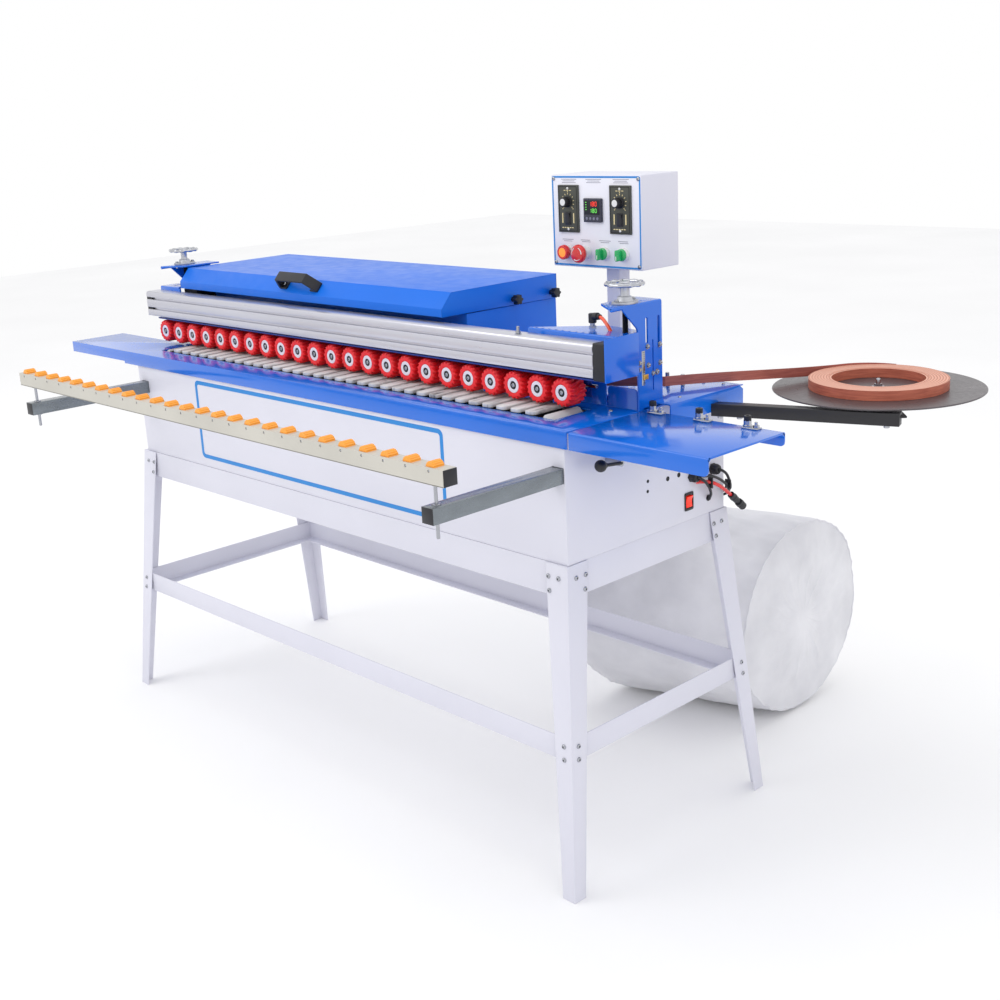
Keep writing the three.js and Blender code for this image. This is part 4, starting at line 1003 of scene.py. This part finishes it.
# ---- control box ----
BOX = {"left": -411, "right": -157, "front": 410, "back": 531, "low": 1188, "high": 1383}
POST = {"x": -284, "y": 479, "half": 18}
FRONT = BOX["front"]
DIAL_XS, DIAL_Z = (-359, -212), 1327
SPEED_HALF, SPEED_LOW, SPEED_HIGH = 29, 1262, 1362
box = Piece(WHITE, PANEL_WHITE, LABEL_BLUE, STEEL, SPEED_PLATE, TICK, NAVY, KEY_GREY, BLACK,
            RED_DIGIT, GREEN_DIGIT, COLLAR, PAINTED_SHADE_AND_DARK_PRINT, BRASS)
box.add(block(BOX["left"], BOX["right"], FRONT + 0.6, BOX["back"], BOX["low"], BOX["high"], 2.2, 3))
panel = round_rect(BOX["left"] + 1.5, BOX["right"] - 1.5, BOX["low"] + 1.5, BOX["high"] - 1.5, 5)
box.add(prism(panel, "Y", FRONT + 0.1, FRONT + 1.2, 0.2), mat=1)
box.add(border(BOX["left"] + 2.4, BOX["right"] - 2.4, BOX["low"] + 2.4, BOX["high"] - 2.4,
               3.8, (5, 3), FRONT - 0.15, FRONT + 0.3), mat=2)
for x in (BOX["left"] + 8, BOX["right"] - 8):
    for z in (BOX["low"] + 8, BOX["high"] - 8):
        box.add(pan_screw((x, FRONT, z), -Y, 4.4), mat=3)
box.add(block(POST["x"] - POST["half"], POST["x"] + POST["half"], POST["y"] - POST["half"],
              POST["y"] + POST["half"], TABLE_TOP + 0.3, BOX["low"] + 1, 1.6, 3))
box.add(block(POST["x"] - 30, POST["x"] + 30, POST["y"] - 17, POST["y"] + 17,
              BOX["low"] - 3, BOX["low"] + 0.4, 0.6))


def bars(items, depth, mat):
    """Thin printed marks on the front panel: each is x0, x1, z0, z1."""
    for x0, x1, z0, z1 in items:
        box.add(block(x0, x1, FRONT - depth, FRONT - depth + 0.4, z0, z1), mat=mat)


def speed_unit(middle):
    """A motor speed plate: screws, a ring of dial ticks, a rocker between two bars."""
    x0, x1, z0, z1 = middle - SPEED_HALF, middle + SPEED_HALF, SPEED_LOW, SPEED_HIGH
    box.add(block(x0, x1, FRONT - 4.6, FRONT + 0.5, z0, z1, 0.8), mat=4)
    box.add(border(x0 + 2.5, x1 - 2.5, z0 + 2.5, z1 - 2.5, 1.5, (2, 1.5), FRONT - 4.9, FRONT - 4.4), mat=12)
    for z in (z0 + 7, z1 - 7):
        box.add(pan_screw((middle, FRONT - 4.6, z), -Y, 2.8), mat=11)
    for k in range(11):
        angle = math.radians(-135 + 27 * k)
        ahead = Vector((math.sin(angle), 0, math.cos(angle)))
        centre = Vector((middle, FRONT - 4.8, DIAL_Z))
        tick = block(-0.7, 0.7, 0, 0.4, 15.2, 18.6)
        box.add(moved(tick, Matrix.Translation(centre) @ Matrix.Rotation(angle, 4, "Y")), mat=5)
        if k in (0, 5, 10):
            spot = centre + ahead * 21
            box.add(rod(spot, spot + Vector((0, 0.4, 0)), 1.1, 8), mat=5)
    for x in (middle - 16, middle + 16):
        bars([(x - 1.4, x + 1.4, 1282, 1303)], 4.9, 5)
    box.add(block(middle - 8.5, middle + 8.5, FRONT - 6, FRONT - 4, 1278, 1306, 0.8), mat=8)
    key_side = [(FRONT - 6, 1280.5), (FRONT - 7.2, 1281), (FRONT - 6.6, 1292), (FRONT - 9.6, 1303),
                (FRONT - 6, 1303.5)]
    box.add(prism(key_side, "X", middle - 6, middle + 6, 0.6), mat=8)
    bars([(middle - 18 + 7 * k, middle - 13 + 7 * k, 1271.2, 1273.0) for k in range(5)], 4.9, 5)
    bars([(middle - 11 + 8 * k, middle - 5.5 + 8 * k, 1350.2, 1351.6) for k in range(3)], 4.9, 5)


for x in DIAL_XS:
    speed_unit(x)

SEGMENTS = {"0": "abcdef", "1": "bc", "2": "abdeg", "5": "acdfg", "8": "abcdefg"}
SEGMENT_PLACES = {"a": (0, 2), "b": (1, 1.5), "c": (1, 0.5), "d": (0, 0), "e": (-1, 0.5),
                  "f": (-1, 1.5), "g": (0, 1)}


def digits(text, x, z, wide, high, mat):
    """Seven-segment figures, from the left."""
    for k, figure in enumerate(text):
        middle = x + k * wide * 1.7
        for name in SEGMENTS[figure]:
            sx, sz = SEGMENT_PLACES[name]
            cx, cz = middle + sx * wide / 2, z + sz * high / 2
            if sx:
                item = (cx - 0.55, cx + 0.55, cz - high * 0.2, cz + high * 0.2)
            else:
                item = (cx - wide * 0.36, cx + wide * 0.36, cz - 0.55, cz + 0.55)
            bars([item], 7.5, mat)


METER_LEFT, METER_RIGHT, METER_LOW, METER_HIGH = -313, -263, 1285, 1335
box.add(block(METER_LEFT, METER_RIGHT, FRONT - 6.6, FRONT + 0.5, METER_LOW, METER_HIGH, 1.6, 3), mat=6)
box.add(block(METER_LEFT + 4, METER_RIGHT - 4, FRONT - 7.1, FRONT - 6,
              METER_LOW + 16, METER_HIGH - 4, 0.3), mat=12)
digits("180", METER_LEFT + 21, METER_HIGH - 16, 4.4, 9, 9)
digits("180", METER_LEFT + 21, METER_HIGH - 29.5, 4.4, 8, 10)
for k in range(4):
    key = Vector((METER_LEFT + 10 + 10 * k, FRONT - 7.6, METER_LOW + 8))
    box.add(rod(key, key + Y * 1.6, 3.1, 14, 0.5), mat=7)
bars([(METER_LEFT + 7, METER_LEFT + 10, METER_HIGH - 9 - 5 * k, METER_HIGH - 7.6 - 5 * k)
      for k in range(4)], 7.5, 10)

BUTTON = {"z": 1220, "first": -366, "step": 53.3}
COLLAR_OUT = (5, 14, 8, 8)
CAPTION_XS = (DIAL_XS[0], -288, DIAL_XS[1])


def control_x(i):
    return BUTTON["first"] + i * BUTTON["step"]


for i, out in enumerate(COLLAR_OUT):
    collar = [(0, -1), (14, -1), (14, out - 1.4), (12.6, out), (0, out)]
    box.add(turned(collar, (control_x(i), FRONT, BUTTON["z"]), -Y, 32), mat=11)
    lines = [(control_x(i) - 16, control_x(i) + 16 - 5 * (i % 2), 1246, 1247.1),
             (control_x(i) - 12, control_x(i) + 12, 1242.5, 1243.5)]
    bars(lines, 0.25, 7)
for x in CAPTION_XS:
    bars([(x - 22, x + 22, 1373.4, 1374.3), (x - 17, x + 17, 1370, 1370.9),
          (x - 20, x + 20, 1366.6, 1367.5)], 0.25, 7)
box.done("control_box_case", "root", "white_paint", "control_box")

start = Piece(RED_PLASTIC, LIT_ORANGE)
centre = (control_x(0), FRONT, BUTTON["z"])
start.add(turned([(0, 11.2), (15.8, 11.2), (16, 13), (15.3, 19), (14, 20.7), (10, 20.7)],
                 centre, -Y, 32))
start.add(turned([(10.2, 19.4), (9.8, 20.4), (6, 20.9), (0, 21)], centre, -Y, 28), mat=1)
start.done("start_lens", "start", "red_plastic", "start_button")

stop = Piece(RED_PLASTIC, COLLAR)
centre = Vector((control_x(1), FRONT, BUTTON["z"]))
stop.add(turned([(0, 20.2), (13, 20.2), (19.2, 22.5), (20, 25), (19.6, 28.5), (17, 31.8), (11, 33.5),
                 (0, 34)], centre, -Y, 40))
for k in range(3):
    arrow = []
    for m in range(9):
        angle = math.radians(120 * k + 70 * m / 8)
        arrow.append(centre + Vector((13.6 * math.cos(angle), -32.5, 13.6 * math.sin(angle))))
    stop.add(sweep(arrow, lambda t: 1.5 - 0.9 * t, 8), mat=1)
stop.done("stop_mushroom", "stop", "red_plastic", "emergency_stop")

for i, body in ((2, "select_left"), (3, "select_right")):
    knob = Piece(GREEN_PLASTIC, COLLAR)
    centre = Vector((control_x(i), FRONT, BUTTON["z"]))
    knob.add(turned([(0, 8.4), (12.6, 8.4), (13, 9.2), (12.6, 12.6), (11, 13.6), (0, 14)],
                    centre, -Y, 32))
    wing = prism(round_rect(-4, 4, -11.8, 11.8, 3.6, 4), "Z", 13.4, 27.6, 1.2, 3)
    knob.add(aimed(wing, centre, -Y))
    mark = prism(round_rect(-0.9, 0.9, 1, 10, 0.8, 3), "Z", 27.4, 27.9)
    knob.add(aimed(mark, centre, -Y), mat=1)
    side_name = body.split("_")[1]
    knob.done(f"selector_{side_name}_knob", body, "green_plastic", f"selector_{side_name}")

for x, body in zip(DIAL_XS, ("knob_left", "knob_right")):
    knob = Piece(BLACK, COLLAR)
    centre = Vector((x, FRONT, DIAL_Z))
    skirt = lobed(10.4, 0.5, 18, 72)
    knob.add(aimed(prism(skirt, "Z", 7.5, 20.5, 0.4, 2), centre, -Y),
             turned([(0, 5.4), (12, 5.4), (12, 7), (10.4, 8.2), (0, 8.2)], centre, -Y, 32),
             turned([(9, 20), (9, 21.4), (8.4, 21.6), (0, 21.6)], centre, -Y, 28))
    knob.add(turned([(0, 21.5), (7.4, 21.5), (7.2, 21.9), (0, 22)], centre, -Y, 28), mat=1)
    knob.add(aimed(prism(round_rect(-0.8, 0.8, 7.8, 9.6, 0.7, 3), "Z", 20.4, 21.0), centre, -Y), mat=1)
    knob.done(f"speed_{body}", body, "black_plastic", f"speed_{body}")

# ---- pull-out arms and roller rail ----
ARM_FRONT = span("support_arm_right")[2]
RAIL_X0, RAIL_X1 = span("roller_rail")[:2]
RAIL = {"front": -317, "width": 32, "low": 914, "high": 945}
RAIL_ROLLERS, RAIL_ROLLER_X, RAIL_PITCH = 26, -30.7, 61.1
RAIL_ROLLER_Z, RAIL_ROLLER_RADIUS = 943.5, 12
RAIL_AXLE_Z = RAIL_ROLLER_Z - 5
PIN = {"radius": 3.4, "low": 812, "y": RAIL["front"] + RAIL["width"] / 2}


def arm_paint(centre, normal):
    """The arm's front end is closed by a black plug."""
    return 1 if normal.y < -0.9 and centre.y < ARM_FRONT + 0.5 else 0


for side in ("right", "left"):
    node = f"support_arm_{side}"
    z0, z1 = span(node)[4:]
    refine(node, "outrigger", "galvanised_steel", 1.5, [GALVANISED, BLACK], arm_paint)
    nuts = Piece(STEEL)
    x = middle_x(node)
    for z, way in ((z1 - 0.5, Z), (z0 + 0.5, -Z)):
        nuts.add(turned([(3.6, 0), (8.5, 0), (8.5, 2.2), (7.6, 3), (3.6, 3), (3.6, 0)],
                        (x, PIN["y"], z), way, 20))
    nuts.done(f"{node}_collars", "outrigger", "galvanised_steel")

rail = Piece(BEIGE, ORANGE, BLACK, STEEL, PAINTED_SHADE_AND_DARK_PRINT)
y0, y1 = RAIL["front"], RAIL["front"] + RAIL["width"]
wall = 2.0
rail_centres = [RAIL_ROLLER_X - i * RAIL_PITCH for i in range(RAIL_ROLLERS)]
cap = 1.6
inner_left, inner_right = RAIL_X0 + cap, RAIL_X1 - cap
rail.add(block(inner_left, inner_right, y1 - wall, y1, RAIL["low"], RAIL["high"], 0.5),
         block(inner_left, inner_right, y0, y1, RAIL["low"], RAIL["low"] + wall, 0.5))
front_holes = [circle(x, RAIL_AXLE_Z, 2.8, 12) for x in rail_centres]
rail.add(plate(rect(inner_left, inner_right, RAIL["low"], RAIL["high"]), front_holes, "Y", y0, y0 + wall))
slots = [rect(x - 12.5, x + 12.5, y0 + 3.2, y1 - 3.2) for x in rail_centres]
rail.add(plate(rect(inner_left, inner_right, y0 + wall, y1 - wall), slots,
               "Z", RAIL["high"] - wall, RAIL["high"]))
for x0, x1 in ((RAIL_X0, RAIL_X0 + cap), (RAIL_X1 - cap, RAIL_X1)):
    rail.add(block(x0, x1, y0 + 0.4, y1 - 0.4, RAIL["low"] + 0.4, RAIL["high"] - 0.4, 0.6), mat=2)
RIBS = 16
for x in rail_centres:
    flutes = []
    for k in range(RIBS * 4):
        angle = TURN * k / (RIBS * 4)
        r = RAIL_ROLLER_RADIUS - 0.2 - (1.0 if k % 4 >= 2 else 0)
        flutes.append((x + r * math.cos(angle), RAIL_ROLLER_Z + r * math.sin(angle)))
    rail.add(prism(flutes, "Y", y0 + 4, y1 - 4, 0.35, 1), mat=1)
    rail.add(rod((x, y0 + 0.7, RAIL_AXLE_Z), (x, y1 - 0.5, RAIL_AXLE_Z), 1.9, 10), mat=3)
for side in ("right", "left"):
    x = middle_x(f"support_arm_{side}")
    rail.add(rod((x, PIN["y"], PIN["low"]), (x, PIN["y"], RAIL["low"] + 1), PIN["radius"], 14, 0.8),
             drum(6.4, -5, 0.2, (x, PIN["y"], RAIL["low"]), Z, 6), mat=3)
rail.done("roller_rail_track", "rail", "beige_paint", "roller_rail")

# ---- tape reel ----
REEL_CENTRE = (255, 655, 947)
REEL = {"radius": 212, "roll": 139, "hole": 93, "tape": 20}
TAPE_TOP = tape_windings(REEL_CENTRE)
reel_at = Vector(REEL_CENTRE)
disc = Piece(DISC, STEEL, BLACK)
r = REEL["radius"]
disc.add(turned([(0, -3), (r - 0.8, -3), (r, -2.2), (r, -0.8), (r - 0.8, 0), (0, 0)],
                reel_at, Z, 160))
disc.add(turned([(0, -36), (5, -36), (5, 14.5), (4.4, 16.6), (2.6, 17.8), (0, 18)], reel_at, Z, 24),
         turned([(5, 0), (13, 0), (13, 1.6), (5, 1.6)], reel_at, Z, 28),
         drum(8.4, 1.6, 6.4, reel_at, Z, 6), drum(8.4, -31.6, -35, reel_at, Z, 6),
         turned([(0, -13.6), (15.9, -13.6), (15.9, -10), (11, -8), (15.9, -5), (15.9, -3), (0, -3)],
                reel_at, Z, 32), mat=1)
disc.done("reel_plate", "reel", "disc_paint", "reel_disc")

roll = Piece(TAPE_SIDE, TAPE_TOP)
outer_r, inner_r, high = REEL["roll"], REEL["hole"], REEL["tape"]
roll.add(turned([(inner_r, 0.3), (outer_r, 0.3), (outer_r, high + 0.1)], reel_at, Z, 144),
         turned([(inner_r, high - 0.4), (inner_r, 0.3)], reel_at, Z, 144))
layers = [(outer_r, high + 0.1), (outer_r - 0.6, high + 0.3)]
for k in range(1, 14):
    layers.append((outer_r - 3 * k, high + 0.3 - 0.25 * (k % 2)))
layers += [(inner_r + 8, high + 0.2), (inner_r + 7.4, high - 0.9), (inner_r, high - 0.4)]
roll.add(turned(layers, reel_at, Z, 144), mat=1)
roll.done("tape_coil", "reel", "edge_tape", "tape_roll")

TAPE_END = Vector((-36, 330))
TAPE_LOW = 972.0
TAPE_STOP = Vector((-150, 262))


def tape_path():
    """Centres and lower edges of the strip: round the roll, straight off it, then to the rollers."""
    centre = Vector(REEL_CENTRE[:2])
    away = centre - TAPE_END
    clear = REEL["roll"] + 1.2
    turn = math.atan2(away.y, away.x) + math.asin(clear / away.length)
    long = math.sqrt(away.length ** 2 - clear ** 2)
    leave = TAPE_END + Vector((math.cos(turn), math.sin(turn))) * long
    start = math.atan2(*(leave - centre).yx)
    low = REEL_CENTRE[2] + 4
    path = [(centre + Vector((math.cos(start - a), math.sin(start - a))) * clear, low - 3 * (a / 0.9) ** 2)
            for a in (0.9 - 0.1 * k for k in range(9))]
    steps = 24
    for k in range(steps + 1):
        t = k / steps
        ease = t * t * (3 - 2 * t)
        path.append((leave.lerp(TAPE_END, t), low + (TAPE_LOW - low) * (0.5 * t + 0.5 * ease)))
    for k in range(1, 9):
        path.append((TAPE_END.lerp(TAPE_STOP, k / 8), TAPE_LOW))
    return path


rings = []
line = tape_path()
for i, (point, low) in enumerate(line):
    before, after = line[max(i - 1, 0)][0], line[min(i + 1, len(line) - 1)][0]
    along = (after - before).normalized()
    aside = Vector((-along.y, along.x)) * 0.7
    high = low + REEL["tape"]
    rings.append([(*(point + aside * s), z) for s, z in ((-1, low), (1, low), (1, high), (-1, high))])
tape = Piece(TAPE_STRIP)
tape.add(shell(rings, caps=True))
tape.done("tape_run", "root", "edge_tape", "tape_strip")

refine("reel_arm", "root", "black_paint", 1.2, [BLACK_PAINT])
refine("tape_tray", "root", "blue_paint", 1.0, [BLUE])
details = Piece(STEEL, BLACK)
ARM_LOW, TRAY_TOP = 915.0, 962
for x, y in ((62, 383), (100, 396), (372, 490)):
    details.add(hex_bolt((x, y, ARM_LOW), -Z, 6))
for x, y in ((-30, 450), (20, 450), (-80, 380), (25, 300)):
    details.add(pan_screw((x, y, TRAY_TOP), Z, 3.6))
for x in (-40, -80):
    details.add(rod((x, 392, TRAY_TOP), (x, 392, TRAY_TOP + 24), 4.2, 16, 0.8))
details.done("reel_fixings", "root", "galvanised_steel")

# ---- ball-ended clamp lever ----
LEVER = Vector((24, 122, 866))
BALL = Vector((24, 62, 873))
lever = Piece(BLACK, STEEL)
lever.add(rod((CAB_FACE + 0.3, LEVER.y, LEVER.z), (LEVER.x + 2, LEVER.y, LEVER.z), 6.8, 20, 1.2), mat=1)
lever.add(rod(LEVER, BALL, 3.5, 14))
lever.add(turned([(12 * math.sin(math.pi * k / 16), -12 * math.cos(math.pi * k / 16)) for k in range(17)],
                 BALL, (BALL - LEVER), 28),
          rod(BALL - (BALL - LEVER).normalized() * 15, BALL, 6, 18, 1))
lever.done("clamp_ball_lever", "lever", "black_plastic", "clamp_lever")

# ---- cables and the air hose, on the routes of the CAD source ----
FACE, BACK = CAB_FACE, 497.0
ROUTES = {
    "drop_cable": [
        (FACE + 17, 386, 774), (FACE + 22, 390, 771), (FACE + 24, 402, 762),
        (FACE + 20, 421, 744), (FACE + 14, 434, 727), (FACE + 3.5, 442, 712)],
    "low_cable": [
        (FACE + 17, 389, 777), (FACE + 24, 400, 775), (FACE + 27, 425, 769),
        (FACE + 26, 450, 757), (FACE + 23, 474, 741), (FACE + 16, 494, 724),
        (FACE + 3, BACK + 12, 711), (FACE - 12, BACK + 14, 703), (FACE - 23, BACK + 4, 700)],
    "high_cable": [
        (FACE + 17, 457, 775), (FACE + 23, 462, 773), (FACE + 25, 474, 763),
        (FACE + 22, 488, 745), (FACE + 15, 501, 729), (FACE + 2, BACK + 17, 717),
        (FACE - 16, BACK + 16, 710), (FACE - 27, BACK + 4, 708)],
    "air_hose": [
        (FACE + 3, 398, 759), (FACE + 14, 410, 759), (FACE + 24, 426, 755),
        (FACE + 29, 450, 741), (FACE + 29, 485, 715)],
}
CABLE_RADIUS, HOSE_RADIUS = 3.0, 4.0
COUPLING_END = Vector((FACE + 26, 532, 678))


def flex(name, route, radius, material):
    """A curve along a route, and its length in metres."""
    line = [at(*point) for point in smooth_line(route, 5)]
    data = bpy.data.curves.new(name, "CURVE")
    data.dimensions = "3D"
    data.bevel_depth = radius / 1000
    data.bevel_resolution = 5
    data.use_fill_caps = True
    spline = data.splines.new("POLY")
    spline.points.add(len(line) - 1)
    for point, here in zip(spline.points, line):
        point.co = (*here, 1)
    spline.use_smooth = True
    data.materials.append(material)
    piece = put(data, name, "root", "cable_jacket", "line_bundle")
    return piece, sum((b - a).length for a, b in zip(line, line[1:]))


hose_end = Vector(ROUTES["air_hose"][-1])
coupling = Piece(BLACK, STEEL)
reach = COUPLING_END - hose_end
for start, end, radius, chamfer in ((-0.05, 0.46, 7.6, 1.2), (0.44, 0.62, 5.6, 0.6), (0.58, 1, 8.8, 1.6),
                                    (0.14, 0.24, 8.3, 0.6), (0.7, 0.78, 9.2, 0.5)):
    coupling.add(rod(hose_end + reach * start, hose_end + reach * end, radius, 20, chamfer))
coupling.add(rod(COUPLING_END - reach.normalized() * 2, COUPLING_END + reach.normalized() * 0.3, 6, 18),
             mat=1)
coupling_piece = coupling.done("hose_coupling", "root", "black_plastic", "line_bundle")
ties = Piece(BLACK)
ties.add(block(FACE + 12, FACE + 27, 484.5, 488, 728, 748, 1.2),
         block(FACE + 17, FACE + 29, 419, 422.5, 744, 774, 1.2))
ties.done("cable_ties", "root", "black_plastic", "line_bundle")
for name, route in ROUTES.items():
    is_hose = name == "air_hose"
    radius = HOSE_RADIUS if is_hose else CABLE_RADIUS
    piece, length = flex(name, route, radius, HOSE_RED if is_hose else JACKET)

# ---- dust bag: an inflated cloth cylinder with sewn ends, and its duct ----
BAG = {"x": -120, "y": 980, "radius": 254, "length": 450, "lean": math.radians(16)}
bag_along = Vector((-1, -math.tan(BAG["lean"]), 0))


def bag_point(distance, angle, radius):
    """A point of the skewed lying cylinder, by distance from its seen end, turn and radius."""
    centre = Vector((BAG["x"], BAG["y"], BAG["radius"])) + bag_along * distance
    return centre + (Y * math.cos(angle) + Z * math.sin(angle)) * radius


def creases(distance, angle):
    """How far the cloth stands in or out in millimetres: long folds, seam puckers, dimples."""
    end = min(distance, BAG["length"] - distance) / BAG["length"]
    where = Vector((distance / 190, math.cos(angle) * 1.7, math.sin(angle) * 1.7))
    fold = noise.noise(where + Vector((3.1, 0, 0))) * 9
    fine = noise.noise(Vector((distance / 62, math.cos(angle) * 6, math.sin(angle) * 6))) * 3.2
    skew = angle * 15 + distance / 55
    ridge = (1 - abs(math.sin(skew + 2.2 * noise.noise(where * 1.6)))) ** 3 * 4.5
    near_rim = math.exp(-end * 18) - math.exp(-end * 70)
    pucker = near_rim * 2.4 * math.sin(angle * 44 + 3 * noise.noise(where * 2))
    return fold + fine + ridge * (0.3 + noise.noise(where * 0.9)) + pucker


def settled(point):
    """The cloth lies flat where it meets the floor and bellies out just above it."""
    if point.z < 60:
        squeeze = (60 - point.z) / 60
        point.z = max(3.0, point.z * (1 - 0.25 * squeeze) + 2)
    return point


SEAM_IN = 8  # how far each sewn rim stands in from the end of the bag
BAG_ANGLES = [TURN * k / 220 for k in range(220)]
BAG_RINGS, END_RINGS = 84, 26


def side_ring(t):
    """A ring of the bag's side, by how far along it is."""
    distance = SEAM_IN + (BAG["length"] - 2 * SEAM_IN) * t
    belly = 4 * math.sin(math.pi * t) - 3 * math.exp(-t * 40) - 3 * math.exp(-(1 - t) * 40)
    radii = [BAG["radius"] - 6 + belly + creases(distance, angle) for angle in BAG_ANGLES]
    return [settled(bag_point(distance, angle, min(r, BAG["radius"] + 1)))
            for r, angle in zip(radii, BAG_ANGLES)]


def end_ring(rim, end, t):
    """A ring of a gathered end, from its rim in towards the middle; end is 0 or 1."""
    hub = bag_point(BAG["length"] - SEAM_IN if end else SEAM_IN, 0, 0)
    points = []
    for base, angle in zip(rim, BAG_ANGLES):
        spot = Vector((math.cos(angle), math.sin(angle), 0)) * (1 - t)
        dome = 7.5 * (1 - (1 - t) ** 4) + 5 * noise.noise(spot * 2.1 + Vector((end * 7, 0, 2)))
        radial = (1 - abs(math.sin(angle * 9 + 3 * noise.noise(spot * 2)))) ** 4
        dome += radial * 3.2 * t * (1 - t) * 4 * (0.5 + noise.noise(spot * 3))
        dome += 2.4 * noise.noise(spot * 8)
        keep = min(dome, 9.5) * min(1, 6 * t)
        points.append(base.lerp(hub, t * 0.985) + (-X if end else X) * keep)
    return points


side_rings = [side_ring(j / BAG_RINGS) for j in range(BAG_RINGS + 1)]
seams = (side_rings[0], side_rings[-1])
ends = [[end_ring(rim, end, j / END_RINGS) for j in range(1, END_RINGS + 1)]
        for end, rim in enumerate(seams)]
bag = Piece(CLOTH, DUCT_GREY)
bag.add(shell([*reversed(ends[0]), *side_rings, *ends[1]], caps=True))
for seam in seams:
    bag.add(sweep(seam, lambda t: 2.0 + 0.2 * math.sin(t * TURN * 60), 8, closed=True))
DUCT = {"distance": 280, "topY": BACK + 62, "topZ": 760}
foot = Vector((BAG["x"], BAG["y"], 2 * BAG["radius"] - 24)) + bag_along * DUCT["distance"]
top = Vector((foot.x, DUCT["topY"], DUCT["topZ"]))
duct_line = smooth_line([foot, foot.lerp(top, 0.35), foot.lerp(top, 0.7), top + Vector((0, 4, -14)),
                         top + Vector((0, -24, 2)), Vector((foot.x, BACK + 0.5, DUCT["topZ"]))], 16)
bag.add(sweep(duct_line, lambda t: 45 + 2.6 * math.sin(t * TURN * 38), 32), mat=1)
bag.add(turned([(44, 0), (52, 0), (52, 6), (44, 6)], (foot.x, BACK + 0.6, DUCT["topZ"]), Y, 36), mat=1)
bag_piece = bag.done("dust_bag_cloth", "root", "bag_cloth", "dust_bag")

# ---- floor, world and lights ----
FLOOR = 12.0
floor_mesh = bpy.data.meshes.new("floor")
floor_mesh.from_pydata([(-FLOOR, -FLOOR, 0), (FLOOR, -FLOOR, 0), (FLOOR, FLOOR, 0), (-FLOOR, FLOOR, 0)],
                       [], [(0, 1, 2, 3)])
floor_mesh.materials.append(pale_floor())
floor = show(bpy.data.objects.new("floor", floor_mesh))

world = bpy.data.worlds.new("studio")
bpy.context.scene.world = world
world.use_nodes = True
background = world.node_tree.nodes["Background"]
background.inputs["Color"].default_value = (1, 1, 1, 1)
background.inputs["Strength"].default_value = 1.0


def area_light(name, place, size, power):
    data = bpy.data.lights.new(name, "AREA")
    data.shape = "DISK"
    data.size = size
    data.energy = power
    light = show(bpy.data.objects.new(name, data))
    light.location = place
    light.rotation_euler = (LIGHT_AIM - Vector(place)).to_track_quat("-Z", "Y").to_euler()


LIGHT_AIM = Vector((0, 0, 0.8))
area_light("key", (-1.8, -3.6, 4.2), 3.0, 48)
area_light("fill", (4.2, -1.6, 2.4), 3.0, 9)
area_light("top", (0.4, 0.6, 4.6), 3.5, 16)
scene = bpy.context.scene
scene.view_settings.view_transform = "Standard"
scene.view_settings.look = "None"
